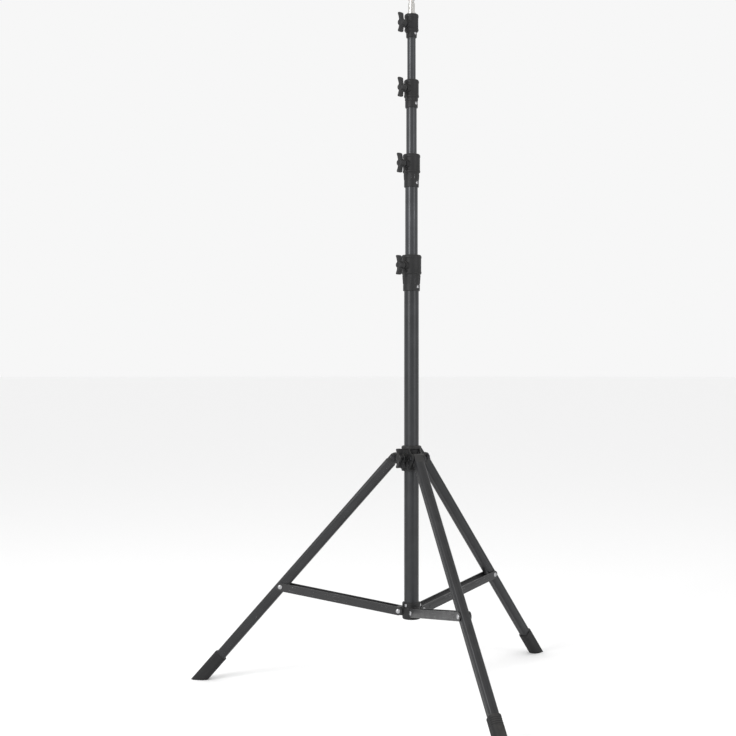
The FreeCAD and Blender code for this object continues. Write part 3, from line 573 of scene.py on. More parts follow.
class Finish:
    """A material under construction: one Principled shader and the pattern's coordinates."""

    def __init__(self, name, own_coordinates=True):
        self.material = bpy.data.materials.new(name)
        self.material.use_nodes = True
        self.tree = self.material.node_tree
        self.colours = bpy.context.scene.stand_finishes
        self.shader = next(n for n in self.tree.nodes if n.type == "BSDF_PRINCIPLED")
        if own_coordinates:
            place = self.tree.nodes.new("ShaderNodeAttribute")
            place.attribute_name = "own"
            self.vector = place.outputs["Vector"]
        else:
            self.vector = self.tree.nodes.new("ShaderNodeTexCoord").outputs["Object"]

    def effect(self, name, **values):
        """Places a shared group, fed with this material's coordinates and values."""
        node = self.tree.nodes.new("ShaderNodeGroup")
        node.node_tree = GROUPS[name]
        self.tree.links.new(self.vector, node.inputs["Vector"])
        for label, value in values.items():
            node.inputs[label].default_value = value
        return node.outputs

    def steady(self, **values):
        """Sets values that are the same all over."""
        for label, value in values.items():
            self.shader.inputs[label.replace("_", " ")].default_value = value

    def mix(self, mask, low, high):
        """Colour that goes from low to high with a mask; either may be a socket."""
        node = self.tree.nodes.new("ShaderNodeMix")
        node.data_type = "RGBA"
        self.tree.links.new(mask, node.inputs["Factor"])
        sockets = [s for s in node.inputs if s.type == "RGBA"]
        for socket, value in zip(sockets, (low, high)):
            if isinstance(value, bpy.types.NodeSocket):
                self.tree.links.new(value, socket)
            else:
                socket.default_value = (*value, 1.0)
        return next(s for s in node.outputs if s.type == "RGBA")

    def feed(self, label, socket):
        """Feeds one input of the shader."""
        self.tree.links.new(socket, self.shader.inputs[label])

    def maths(self, *arguments, **options):
        """Math node in this material."""
        return maths(self.tree, *arguments, **options)

    def range(self, *arguments):
        """Map Range node in this material."""
        return spread(self.tree, *arguments)

    def bump(self, *layers):
        """Bump of (height socket, distance, strength) layers, one on top of the other."""
        last = None
        for height, distance, strength in layers:
            node = self.tree.nodes.new("ShaderNodeBump")
            node.inputs["Distance"].default_value = distance
            node.inputs["Strength"].default_value = strength
            self.tree.links.new(height, node.inputs["Height"])
            if last:
                self.tree.links.new(last, node.inputs["Normal"])
            last = node.outputs["Normal"]
        self.feed("Normal", last)

    def surface(self, base, tones, scale, wear, dust, worn_to, marks=None):
        """Base colour of a black finish: grain, rub marks, worn edges, and dust over it all."""
        grain = self.effect("grain", Scale=scale)
        edges = self.effect("wear", Radius=wear[0], Amount=wear[1])["Mask"]
        settled = self.effect("dust", Amount=dust)["Mask"]
        tone = self.mix(grain["Tone"], darker(base, tones[0]), darker(base, tones[1]))
        if marks:
            tone = self.mix(marks, tone, darker(base, 3.4))
        worn = self.mix(edges, tone, worn_to)
        self.feed("Base Color", self.mix(settled, worn, self.colours.dust))
        return grain, edges, settled


def darker(rgb, share):
    """A colour at a share of its strength."""
    return tuple(share * c for c in rgb)


def anodised(name, base, rub, rough):
    """Anodised tube: drawn lines, rub marks, worn rims and a little dust."""
    finish = Finish(name)
    lines = finish.effect("lines", Scale=900.0, Rub=rub)
    grain, edges, dust = finish.surface(base, (0.86, 1.16), 700.0, (0.0005, 0.45), 0.05,
                                        finish.colours.metal, lines["Marks"])
    worn = finish.maths("MAXIMUM", edges, finish.maths("MULTIPLY", lines["Marks"], 0.5))
    finish.feed("Metallic", finish.range(worn, 0.0, 1.0, 0.35, 0.95))
    streaks = finish.range(lines["Height"], 0.3, 0.7, rough - 0.05, rough + 0.06)
    finish.feed("Roughness", finish.maths("ADD", streaks, finish.maths("MULTIPLY", dust, 0.3)))
    finish.bump((lines["Height"], 0.00006, 0.35), (grain["Height"], 0.00003, 0.25))
    return finish.material


def painted(name, base, tones, scale, wear, dust, sheen, relief, specular):
    """Paint on metal, with chipped edges and dust; sheen is a grain output, its span and the roughness."""
    finish = Finish(name)
    grain, edges, _ = finish.surface(base, tones, scale, wear, dust, finish.colours.metal)
    finish.feed("Metallic", finish.maths("MULTIPLY", edges, 0.9))
    finish.feed("Roughness", finish.range(grain[sheen[0]], *sheen[1:]))
    finish.steady(Specular_IOR_Level=specular)
    finish.bump((grain["Height"], *relief))
    return finish.material


def moulded(name, base, rough, scale, depth, dust=0.06, own=True):
    """Moulded plastic or rubber: even grain, slight bloom and dust, edges polished by hands."""
    finish = Finish(name, own)
    grain, edges, _ = finish.surface(base, (0.85, 1.25), scale, (0.0012, 0.9), dust, darker(base, 1.9))
    even = finish.range(grain["Tone"], 0.0, 1.0, rough - 0.05, rough + 0.06)
    finish.feed("Roughness", finish.maths("SUBTRACT", even, finish.maths("MULTIPLY", edges, 0.12)))
    finish.steady(Specular_IOR_Level=0.38)
    finish.bump((grain["Height"], depth, 0.5))
    return finish.material


def turned_metal(name, base, rough, metallic=1.0, own=True):
    """Turned or plated metal: fine rings, uneven polish and small stains."""
    finish = Finish(name, own)
    rings = finish.effect("rings", Scale=2600.0)
    grain = finish.effect("grain", Scale=900.0)
    tone = finish.mix(rings["Tone"], darker(base, 0.80), base)
    stains = finish.range(grain["Tone"], 0.75, 1.0, 0.0, 0.35)
    finish.feed("Base Color", finish.mix(stains, tone, darker(base, 0.55)))
    finish.steady(Metallic=metallic)
    finish.feed("Roughness", finish.range(rings["Tone"], 0.0, 1.0, rough + 0.10, rough))
    finish.bump((rings["Height"], 0.00003, 0.35), (grain["Height"], 0.00003, 0.15))
    return finish.material


def make_materials():
    """Every shared effect and every finish of the stand, once."""
    GROUPS.update(wear=edge_wear_group(), dust=dust_group(), grain=grain_group(),
                  lines=drawn_lines_group(), rings=turned_rings_group())
    colours = bpy.context.scene.stand_finishes
    nylon = colours.nylon
    MATERIALS.update({
        "base_tube": anodised("Anodised Base Tube", colours.anodised, 0.35, 0.36),
        # painted light: the risers take the base tube's own anodised black made 1.5 times lighter, standing in for
        # the white surroundings that blur over the thin tubes
        "riser": anodised("Anodised Riser", darker(colours.anodised, 1.5), 0.9, 0.33),
        "leg": anodised("Anodised Leg", colours.leg, 0.30, 0.38),
        "casting": painted("Powder Coat", colours.casting, (0.8, 1.25), 1500.0, (0.0009, 0.55), 0.08,
                           ("Height", 0.5, 1.1, 0.44, 0.62), (0.00012, 0.5), 0.32),
        "enamel": painted("Strap Enamel", colours.enamel, (0.85, 1.2), 420.0, (0.0007, 0.62), 0.07,
                          ("Tone", 0.0, 1.0, 0.30, 0.42), (0.00010, 0.22), 0.5),
        "knob": moulded("Knob Nylon", nylon, 0.42, 1100.0, 0.00010),
        "leg_end": moulded("Leg End Nylon", nylon, 0.50, 900.0, 0.00010),
        "rubber": moulded("Foot Rubber", colours.rubber, 0.72, 650.0, 0.00016, 0.11),
        "steel": turned_metal("Zinc Plated Steel", STEEL, 0.28),
        "black_steel": turned_metal("Black Oxide Steel", BLACK_STEEL, 0.34, 0.85),
        "nickel": turned_metal("Nickel Plated Stud", NICKEL, 0.17),
        "frame_steel": turned_metal("Clamp Screw Steel", STEEL, 0.28, own=False),
        "frame_brass": turned_metal("Insert Brass", BRASS, 0.26, own=False),
        "frame_acetal": moulded("Liner Acetal", ACETAL, 0.38, 800.0, 0.00004, own=False),
        "frame_nylon": moulded("Plug Nylon", nylon, 0.5, 900.0, 0.0001, own=False),
    })


# ---- Column -------------------------------------------------------------------------------
CLAMPS = {
    "leg_hub": ("leg_slider_knob_turn", "leg_slider_lock"),
    "base_collar": ("base_collar_knob_turn", "base_collar_lock"),
    "collar_1": ("collar_1_knob_turn", "collar_1_lock"),
    "collar_2": ("collar_2_knob_turn", "collar_2_lock"),
    "top_socket": ("top_socket_knob_turn", "top_socket_lock"),
}
TUBES = ("base_tube", "riser_1_tube", "riser_2_tube", "riser_3_tube")
COLLARS = (("base_collar", "column"), ("collar_1", "riser_1"), ("collar_2", "riser_2"))
SEAT = 0.05 * MM
BOSS_OUT = 6.0 * MM
KNOB_GAP = 2.0 * MM
KNOB_BORE = 14.5 * MM
FLUTES = 20
FLUTE_RING = 8.75 * MM
WING_LEAN = 0.26
SCREW_UP = 10.0 * MM
RUNNING = 0.06 * MM
STUD_SHANK = 7.5 * MM
STUD_GROOVE_UP = 26 * MM
STUD_TIP = 12 * MM
THREAD_PITCH = 1.5875 * MM
HEAD_SUNK = 0.8 * MM
SCREW_HOLE_R = 2.1 * MM
SCREW_SEAT_R = 4.1 * MM


def clamp_height(node):
    """Height of a clamp screw's axis."""
    return joint_place(CLAMPS[node][0]).z


def ring_radius(node):
    """Outer radius of a collar, read on the side away from its boss."""
    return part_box(node)[1].x


def round_tube(name, radius, wall, low, high):
    """Round tube with softened rims."""
    soft = 0.4 * MM
    return turned(name, [
        (radius - wall, low), (radius - soft, low), (radius, low + soft),
        (radius, high - soft), (radius - soft, high), (radius - wall, high),
        (radius - wall, low)], segments=96)


def radial_place(radius, height, azimuth):
    """Frame on a round surface round the column, +Z pointing out of it, a screw head's seat at z = 0."""
    return (Matrix.Translation((0, 0, height)) @ about_z(azimuth)
            @ Matrix.Translation((radius - HEAD_SUNK, 0, 0)) @ Matrix.Rotation(QUARTER, 4, "Y"))


def screw_hole(radius, height, azimuth):
    """Cutter for a small radial screw's hole and the flat that its head sits on."""
    cutter = turned("screw_hole", [(SCREW_HOLE_R, -0.7 * radius), (SCREW_HOLE_R, 0), (SCREW_SEAT_R, 0),
                                   (SCREW_SEAT_R, 0.6 * radius)], 31)
    return moved(cutter, radial_place(radius, height, azimuth))


def skirt_holes(skirt, below):
    """Cutters for the two screws through a collar's skirt."""
    return [screw_hole(skirt, SCREW_UP - below, side) for side in (QUARTER, -QUARTER)]


def clamp_sizes(node):
    """Height of a clamp's screw, and how far its casting reaches above, below and round it."""
    low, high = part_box(node)
    height = clamp_height(node)
    return height, high.z - height, height - low.z, ring_radius(node)


def finished_casting(piece, node, body, height, turn=0.0):
    """Last steps of a casting, whose own frame stands at a height and is turned about the column."""
    place = Matrix.Translation((0, 0, height)) @ about_z(turn)
    return finished(piece, node + "_casting", body, MATERIALS["casting"], place, (node,))


def boss_shapes(ring):
    """Boss of a clamp screw along +X, with a collar at its face and a gusset under it."""
    face = ring + BOSS_OUT
    return [
        rod(12.0 * MM, (ring - 7 * MM, 0, 0), (face - 2 * MM, 0, 0), 48, 9.8 * MM),
        rod(9.9 * MM, (face - 3 * MM, 0, 0), (face, 0, 0), 48, 9.5 * MM),
        block((BOSS_OUT + 6 * MM, 3.0 * MM, 22 * MM), (ring - 1.0 * MM, 0, -10 * MM),
              (0, math.radians(24), 0)),
    ]


def insert_hole(bore, ring):
    """Cutter for the seat of the clamp screw's insert."""
    radius = bpy.context.scene.stand_sizes.insert_radius + SEAT
    return rod(radius, (bore - 4 * MM, 0, 0), (ring + 20 * MM, 0, 0))


def upright_ribs(count, low_radius, high_radius, low, high, skip=0.6):
    """Slim ribs round a tapering skirt, none within an angle of the boss."""
    lean = math.atan2(high_radius - low_radius, high - low)
    run = math.hypot(high_radius - low_radius, high - low)
    ribs = []
    for index in range(count):
        angle = 2 * math.pi * (index + 0.5) / count
        if min(angle, 2 * math.pi - angle) < skip:
            continue
        rib = rounded(block((1.6 * MM, 1.7 * MM, run), (0, 0, 0)), 0.6 * MM, 3)
        middle_radius = (low_radius + high_radius) / 2
        place = Matrix.Translation((middle_radius, 0, (low + high) / 2))
        ribs.append(moved(rib, about_z(angle) @ place @ Matrix.Rotation(lean, 4, "Y")))
    return ribs


def collar_shapes(skirt, ring, above, below):
    """Outside of a collar: lip, ribbed skirt, waist, clamp ring with two bands, and a rear pad."""
    skin = turned("collar_skin", [
        (skirt - 0.9 * MM, -below), (skirt, -below + 0.9 * MM), (skirt, -below + 15 * MM),
        (skirt - 0.5 * MM, -below + 16 * MM), (ring - 2.6 * MM, -24 * MM), (ring - 2.6 * MM, -21 * MM),
        (ring, -18 * MM), (ring, -14.5 * MM), (ring - 0.7 * MM, -13.8 * MM),
        (ring - 0.7 * MM, above - 8.6 * MM), (ring, above - 8 * MM), (ring, above - 4 * MM),
        (ring - 0.9 * MM, above - 1.6 * MM), (ring - 3.0 * MM, above)], segments=72)
    pad = rounded(block((6 * MM, 15 * MM, above + 5 * MM), (2.4 * MM - ring, 0, (above - 17 * MM) / 2)),
                  1.6 * MM, 4)
    ribs = upright_ribs(14, skirt + 0.1 * MM, ring - 2.5 * MM, -below + 17 * MM, -23 * MM)
    return [skin, pad, *ribs, *boss_shapes(ring)]


def make_collar(node, body, lower, upper):
    """Die-cast collar on one tube, bored for the next one and for its liner."""
    sizes = bpy.context.scene.stand_sizes
    height, above, below, ring = clamp_sizes(node)
    tube_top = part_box(lower)[1].z - height
    seat, skirt = tube_radius(lower) + SEAT, tube_radius(lower) + sizes.skirt_wall
    liner = tube_radius(upper) + sizes.liner_wall + SEAT
    mouth = tube_radius(upper) + 0.5 * MM
    piece = cast(node + "_cast", collar_shapes(skirt, ring, above, below))
    bore = turned("bore", [
        (tube_radius(lower) + 1.0 * MM, -below - 2 * MM), (seat, -below + 0.5 * MM), (seat, tube_top),
        (liner, tube_top), (liner, above - 2 * MM), (mouth, above - 2 * MM), (mouth, above - 1 * MM),
        (mouth + 1.6 * MM, above + 0.6 * MM)], 72)
    cut(piece, *skirt_holes(skirt, below), bore, insert_hole(liner, ring))
    finished_casting(piece, node, body, height, KNOB_AZIMUTH)


def make_top_socket():
    """Casting on the last riser, with the stud's socket in its top."""
    height, above, below, ring = clamp_sizes("top_socket")
    tube = tube_radius("riser_3_tube")
    tube_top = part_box("riser_3_tube")[1].z - height
    socket_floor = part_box("spigot")[0].z - height
    skirt = tube + bpy.context.scene.stand_sizes.skirt_wall
    skin = turned("socket_skin", [
        (skirt - 0.9 * MM, -below), (skirt, -below + 0.9 * MM), (skirt + 0.4 * MM, -below + 12 * MM),
        (ring - 1.6 * MM, -15.5 * MM), (ring, -13 * MM), (ring, -10 * MM), (ring - 0.7 * MM, -9.4 * MM),
        (ring - 0.7 * MM, above - 8.6 * MM), (ring, above - 8 * MM), (ring, above - 3.5 * MM),
        (ring - 0.9 * MM, above - 1.2 * MM), (ring - 2.6 * MM, above)], segments=72)
    pad = rounded(block((5 * MM, 13 * MM, above + 2 * MM), (2.0 * MM - ring, 0, (above - 12 * MM) / 2)),
                  1.5 * MM, 4)
    piece = cast("top_socket_cast", [skin, pad, *boss_shapes(ring)])
    seat = rod(tube + SEAT, (0, 0, -below - 1 * MM), (0, 0, tube_top), 72)
    socket = turned("socket", [
        (STUD_SHANK + RUNNING, socket_floor), (STUD_SHANK + RUNNING, above - 0.8 * MM),
        (STUD_SHANK + 1.2 * MM, above + 0.4 * MM)], 72)
    cut(piece, *skirt_holes(skirt, below), seat, socket, insert_hole(STUD_SHANK + 1 * MM, ring))
    finished_casting(piece, "top_socket", "riser_3", height, KNOB_AZIMUTH)


def thread(radius, pitch, low, high):
    """Real screw thread round Z, cut flat at both ends and chamfered at the top."""
    deselect()
    root = radius - 0.6 * pitch
    bpy.ops.mesh.primitive_circle_add(vertices=5, radius=radius)
    tooth = bpy.context.object
    corners = ((root, 0.0), (radius, 0.42), (radius, 0.54), (root, 0.94), (root, 1.0))
    for vertex, (across, share) in zip(tooth.data.vertices, corners):
        vertex.co = (across, 0, low + (share - 2.37) * pitch)
    for edge in tooth.data.edges:
        edge.select = abs(edge.vertices[0] - edge.vertices[1]) == len(corners) - 1
    for vertex in tooth.data.vertices:
        vertex.select = False
    select(tooth)
    bpy.ops.object.mode_set(mode="EDIT")
    bpy.ops.mesh.select_mode(type="EDGE")
    bpy.ops.mesh.delete(type="EDGE")
    bpy.ops.mesh.select_mode(type="VERT")
    bpy.ops.object.mode_set(mode="OBJECT")
    turns = math.ceil((high - low) / pitch) + 4
    modified(tooth, "SCREW", screw_offset=pitch, iterations=turns, steps=32, render_steps=32, axis="Z")
    edit(tooth)
    bpy.ops.mesh.remove_doubles(threshold=1e-6)
    bpy.ops.object.mode_set(mode="OBJECT")
    sliced(tooth, (0, 0, low), (0, 0, -1))
    sliced(tooth, (0, 0, high), (0, 0, 1))
    edit(tooth)
    tooth = closed("thread")
    envelope = turned("envelope", [(radius + 1 * MM, low - 1 * MM), (radius + 1 * MM, high - 2.1 * MM),
                                   (radius - 1.1 * MM, high)], 48)
    return cut(tooth, envelope, operation="INTERSECT")


def make_stud():
    """Turned stud with its shoulder, catch groove and threaded tip."""
    low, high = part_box("spigot")
    radius = MOUNTS["stud"]["dims"]["r_mm"] * MM
    tip_radius = MOUNTS["stud_thread"]["dims"]["r_mm"] * MM
    shoulder = (high.x - low.x) / 2
    socket_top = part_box("top_socket")[1].z
    top = high.z - STUD_TIP
    groove = socket_top + STUD_GROOVE_UP
    neck = tip_radius - 0.95 * MM
    body = turned("stud_body", [
        (STUD_SHANK - 1.0 * MM, low.z), (STUD_SHANK, low.z + 1.0 * MM), (STUD_SHANK, socket_top),
        (shoulder - 0.6 * MM, socket_top), (shoulder, socket_top + 0.6 * MM),
        (shoulder, socket_top + 2.6 * MM), (shoulder - 0.9 * MM, socket_top + 3.5 * MM),
        (radius + 0.6 * MM, socket_top + 3.5 * MM), (radius, socket_top + 4.1 * MM),
        (radius, groove - 0.2 * MM), (radius - 0.25 * MM, groove), (6.5 * MM, groove + 1.5 * MM),
        (6.4 * MM, groove + 1.9 * MM), (6.4 * MM, groove + 6.1 * MM), (6.5 * MM, groove + 6.5 * MM),
        (radius - 0.25 * MM, groove + 8.0 * MM), (radius, groove + 8.2 * MM), (radius, top - 1.2 * MM),
        (radius - 0.35 * MM, top - 0.4 * MM), (radius - 1.2 * MM, top), (neck, top),
        (neck, top + 0.9 * MM)], segments=96)
    tip = thread(tip_radius, THREAD_PITCH, top + 0.6 * MM, high.z)
    finished(joined("stud", [body, tip]), "stud_turned", "stud", MATERIALS["nickel"],
             None, ("spigot",), 28.0)


def knob_wing():
    """One wing of a knob along +Z: waisted, leaning outward, with a thick rounded tip and grip ribs."""
    sizes = bpy.context.scene.stand_sizes
    half, thick = sizes.knob_span / 2, sizes.knob_thickness
    wing = drawn("wing", 2.4 * MM, [
        (13.0 * MM, 0.92 * thick, 4 * MM), (13.4 * MM, 0.76 * thick, 8 * MM),
        (14.4 * MM, 0.66 * thick, 12 * MM), (15.2 * MM, 0.68 * thick, 16 * MM),
        (15.8 * MM, 0.80 * thick, half - 3.6 * MM), (15.0 * MM, 0.78 * thick, half - 1.6 * MM),
        (13.0 * MM, 0.58 * thick, half - 0.4 * MM), (10.0 * MM, 0.36 * thick, half)], 5)
    ribs = [rod(0.8 * MM, (-4.9 * MM, side * 0.335 * thick, z), (4.9 * MM, side * 0.345 * thick, z), 12)
            for side in (1, -1) for z in (12.4 * MM, 15.0 * MM, 17.6 * MM)]
    lean = Matrix.Translation((10.0 * MM, 0, 0))
    lean[0][2] = WING_LEAN
    return [moved(piece, lean) for piece in (wing, *ribs)]


def make_knob():
    """Wing knob along +X, its inner face at x = 0: fluted hub, recessed end and two wings."""
    hub = turned("hub", in_mm(
        (8.0, 0), (9.0, 0.8), (9.0, 3.4), (8.1, 4.2), (7.9, 16.6), (7.0, 17.8), (5.6, 18.0), (5.1, 17.0),
        (2.2, 17.3), (0.3, 17.4)), 48)
    flutes = []
    for index in range(FLUTES):
        angle = 2 * math.pi * index / FLUTES
        across, along = FLUTE_RING * math.cos(angle), FLUTE_RING * math.sin(angle)
        flutes.append(rod(0.75 * MM, (across, along, 0.7 * MM), (across, along, 3.5 * MM), 10))
    body = moved(joined("hub", [hub, *flutes]), Matrix.Rotation(QUARTER, 4, "Y"))
    upper = joined("wing_up", knob_wing())
    lower = moved(copied(upper, "wing_down"), Matrix.Rotation(math.pi, 4, "X"))
    knob = cast("knob", [body, upper, lower], 0.36 * MM, 3, 0.45)
    radius = bpy.context.scene.stand_sizes.screw_radius + RUNNING
    return cut(knob, rod(radius, (-1 * MM, 0, 0), (KNOB_BORE, 0, 0), 40))


def make_tubes():
    """The column's four round tubes."""
    sizes = bpy.context.scene.stand_sizes
    bodies = ("column", "riser_1", "riser_2", "riser_3")
    for node, body in zip(TUBES, bodies):
        low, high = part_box(node)
        tube = round_tube(node, tube_radius(node), sizes.tube_wall, low.z, high.z)
        finish = MATERIALS["base_tube" if body == "column" else "riser"]
        finished(tube, node + "_drawn", body, finish, None, (node,))


def make_knobs():
    """One knob on each clamp screw."""
    pattern = make_knob()
    for node, names in CLAMPS.items():
        ring = ring_radius(node) if node != "leg_hub" else HUB_RING
        place = clamp_place(clamp_height(node)) @ Matrix.Translation((ring + BOSS_OUT + KNOB_GAP, 0, 0))
        name = node + "_knob_moulded"
        finished(copied(pattern, name), name, names[1], MATERIALS["knob"], place,
                 (node + "_knob",))
    bpy.data.objects.remove(pattern)


# ---- Leg hub and brace hub ----------------------------------------------------------------
HUB_RING = 24.0 * MM
CUP_RING = 22.0 * MM
CUP_SCREW_DOWN = 6 * MM
CUP_SCREW_TURN = math.radians(60)
EAR_GAP = 0.4 * MM
EYE_R = 10.5 * MM
WASHER_SEAT_R = 7.2 * MM
BOLT_R = 3.06 * MM
RIVET_R = 3.0 * MM


def ear_inner():
    """Distance from a leg's middle plane to the inner face of an ear or strap."""
    return bpy.context.scene.stand_sizes.leg_width / 2 + EAR_GAP


def ear_outer():
    """Distance from a leg's middle plane to the outer face of an ear."""
    return ear_inner() + bpy.context.scene.stand_sizes.ear_thickness


def ear_shapes(side):
    """One ear on one side of a leg: tapering plate, raised eye and a gusset on its outside."""
    thick = bpy.context.scene.stand_sizes.ear_thickness
    inner = ear_inner()
    face = side * (inner + thick / 2)
    plate = block((LEG_PIVOT_R - 18 * MM, thick - 0.8 * MM, 54 * MM),
                  ((LEG_PIVOT_R + 18 * MM) / 2, face, -3 * MM))
    sliced(plate, (20 * MM, 0, 23 * MM), (12.5, 0, 20.0))
    sliced(plate, (20 * MM, 0, -29 * MM), (18.5, 0, -20.0))
    tip = rod(EYE_R, (LEG_PIVOT_R, side * (inner + 0.3 * MM), 0),
              (LEG_PIVOT_R, side * (inner + thick - 0.4 * MM), 0), 56)
    eye = rod(8.2 * MM, (LEG_PIVOT_R, side * (inner - 1.2 * MM), 0),
              (LEG_PIVOT_R, side * (inner + thick + 0.5 * MM), 0), 48)
    gusset = block((18 * MM, 5 * MM, 2.4 * MM), (24 * MM, side * (inner + thick - 1.2 * MM), 0),
                   (0, 0, -side * math.radians(8)))
    return [plate, tip, eye, gusset]


def make_leg_hub():
    """Sliding casting: lipped sleeve, three pairs of ears, clamp boss; then drilled and bored."""
    low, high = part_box("leg_hub")
    above, below = high.z - LEG_PIVOT.z, LEG_PIVOT.z - low.z
    skin = turned("hub_skin", [
        (HUB_RING - 1.2 * MM, -below), (HUB_RING, 1.2 * MM - below), (HUB_RING, 4.6 * MM - below),
        (HUB_RING - 1.5 * MM, 6.2 * MM - below), (HUB_RING - 1.5 * MM, above - 9 * MM),
        (HUB_RING, above - 7.5 * MM), (HUB_RING, above - 4 * MM), (HUB_RING - 0.9 * MM, above - 1.4 * MM),
        (HUB_RING - 3 * MM, above)], 72)
    shapes = [skin, *facing(KNOB_AZIMUTH, *boss_shapes(HUB_RING))]
    for angle in AZIMUTH.values():
        shapes += facing(angle, *ear_shapes(1), *ear_shapes(-1))
    piece = cast("leg_hub_cast", shapes, 0.65 * MM, 4, 0.45)
    tube, liner = tube_radius("base_tube"), bpy.context.scene.stand_sizes.liner_wall
    bore = rod(tube + liner + SEAT, (0, 0, 1.5 * MM - below), (0, 0, above - 1.5 * MM), 96)
    mouth = rod(tube + 0.6 * MM, (0, 0, -2 * below), (0, 0, 2 * above), 96)
    cutters = [bore, mouth, *facing(KNOB_AZIMUTH, insert_hole(tube + liner, HUB_RING))]
    outer, across = ear_outer(), 30 * MM
    for angle in AZIMUTH.values():
        slot = block((40 * MM, 2 * ear_inner(), 90 * MM), (46.4 * MM, 0, 0))
        hole = rod(BOLT_R, (LEG_PIVOT_R, -across, 0), (LEG_PIVOT_R, across, 0), 40)
        seats = [rod(WASHER_SEAT_R, (LEG_PIVOT_R, side * outer, 0), (LEG_PIVOT_R, side * across, 0), 40)
                 for side in (1, -1)]
        cutters += facing(angle, slot, hole, *seats)
    cut(piece, *cutters)
    finished_casting(piece, "leg_hub", "leg_slider", LEG_PIVOT.z)


def make_brace_hub():
    """Cast cup at the column's foot, with three drilled tongues for the braces."""
    low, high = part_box("brace_hub")
    ring, waist = CUP_RING, CUP_RING - 1.2 * MM
    down, up = low.z - BRACE_PIVOT.z, high.z - BRACE_PIVOT.z
    skin = turned("cup_skin", [
        (ring - 3.5 * MM, down), (waist, down + 0.8 * MM), (ring, down + 3 * MM), (ring, up - 13.5 * MM),
        (waist, up - 12.3 * MM), (waist, up - 11 * MM), (ring, up - 10.2 * MM), (ring, up - 1.6 * MM),
        (ring - 1.4 * MM, up)], 72)
    sizes = bpy.context.scene.stand_sizes
    half, reach = sizes.leg_width / 2, sizes.strap_width / 2
    shapes = [skin]
    for angle in AZIMUTH.values():
        tongue = rod(reach, (BRACE_PIVOT_R, -half - 0.4 * MM, 0), (BRACE_PIVOT_R, half + 0.4 * MM, 0), 56)
        web = block((BRACE_PIVOT_R - 16 * MM, 2 * half + 0.8 * MM, 2 * reach),
                    ((BRACE_PIVOT_R + 16 * MM) / 2, 0, 0))
        shapes += facing(angle, tongue, web)
    piece = cast("brace_hub_cast", shapes, 0.6 * MM, 4, 0.45)
    tube = tube_radius("base_tube") + SEAT
    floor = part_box("base_tube")[0].z - BRACE_PIVOT.z
    bore = turned("cup_bore", [(tube, floor), (tube, up - 0.8 * MM), (tube + 1.6 * MM, up + 0.8 * MM)], 96)
    cutters = [bore, rod(6 * MM, (0, 0, 2 * down), (0, 0, 0), 40)]
    for angle in AZIMUTH.values():
        hole = rod(BOLT_R, (BRACE_PIVOT_R, -2 * half, 0), (BRACE_PIVOT_R, 2 * half, 0), 40)
        faces = [block((30 * MM, 10 * MM, 60 * MM), (ring + 17.6 * MM, side * (half + 5 * MM), 0))
                 for side in (1, -1)]
        core = rounded(block((5 * MM, 12 * MM, 3 * reach), (ring + 0.6 * MM, 0, -reach)), 1.5 * MM, 3)
        cutters += facing(angle, hole, *faces, core)
        cutters.append(screw_hole(CUP_RING, up - CUP_SCREW_DOWN, angle + CUP_SCREW_TURN))
    cut(piece, *cutters)
    finished_casting(piece, "brace_hub", "column", BRACE_PIVOT.z)


# ---- Legs ---------------------------------------------------------------------------------
LEG_START = 20.0 * MM
LEG_EYE_R = 11.0 * MM
GROOVES = (-4.6 * MM, 4.6 * MM)
FOOT_UP = 48.0 * MM
FOOT_SOLE = 22.0 * MM
GRIP_RINGS = (7.0 * MM, 11.5 * MM, 16.0 * MM, 20.5 * MM)
TREADS = (-15, -9, -3, 3, 9, 15)


def leg_end_z():
    """Lower end of the leg tube, in the leg's own frame."""
    return FOOT_SOLE + bpy.context.scene.stand_sizes.leg_depth / 2 - LEG_LENGTH


def make_leg_tubes():
    """Drawn leg bars with a pair of fine grooves down each flat side."""
    sizes = bpy.context.scene.stand_sizes
    depth, width, wall = sizes.leg_depth, sizes.leg_width, sizes.tube_wall
    low, high = leg_end_z(), -LEG_START
    bar = drawn("leg_bar", sizes.leg_corner, [(depth, width, low), (depth, width, high)])
    inside = depth - 2 * wall, width - 2 * wall
    bore = [(*inside, low - 1 * MM), (*inside, high + 1 * MM)]
    cutters = [drawn("leg_bore", sizes.leg_corner - wall, bore)]
    for side in (1, -1):
        cutters += [block((1.3 * MM, 0.9 * MM, 2 * LEG_LENGTH), (x, side * width / 2, 0)) for x in GROOVES]
        cutters.append(block((0.9 * MM, 1.3 * MM, 2 * LEG_LENGTH), (side * depth / 2, 0, 0)))
    cutters.append(rod(RIVET_R + SEAT, (0, -width, -BRACE_DOWN_LEG), (0, width, -BRACE_DOWN_LEG), 40))
    cut(bar, *cutters)
    on_each_side(bar, "leg_bar", "leg", "leg", leg_place, "leg_tube")


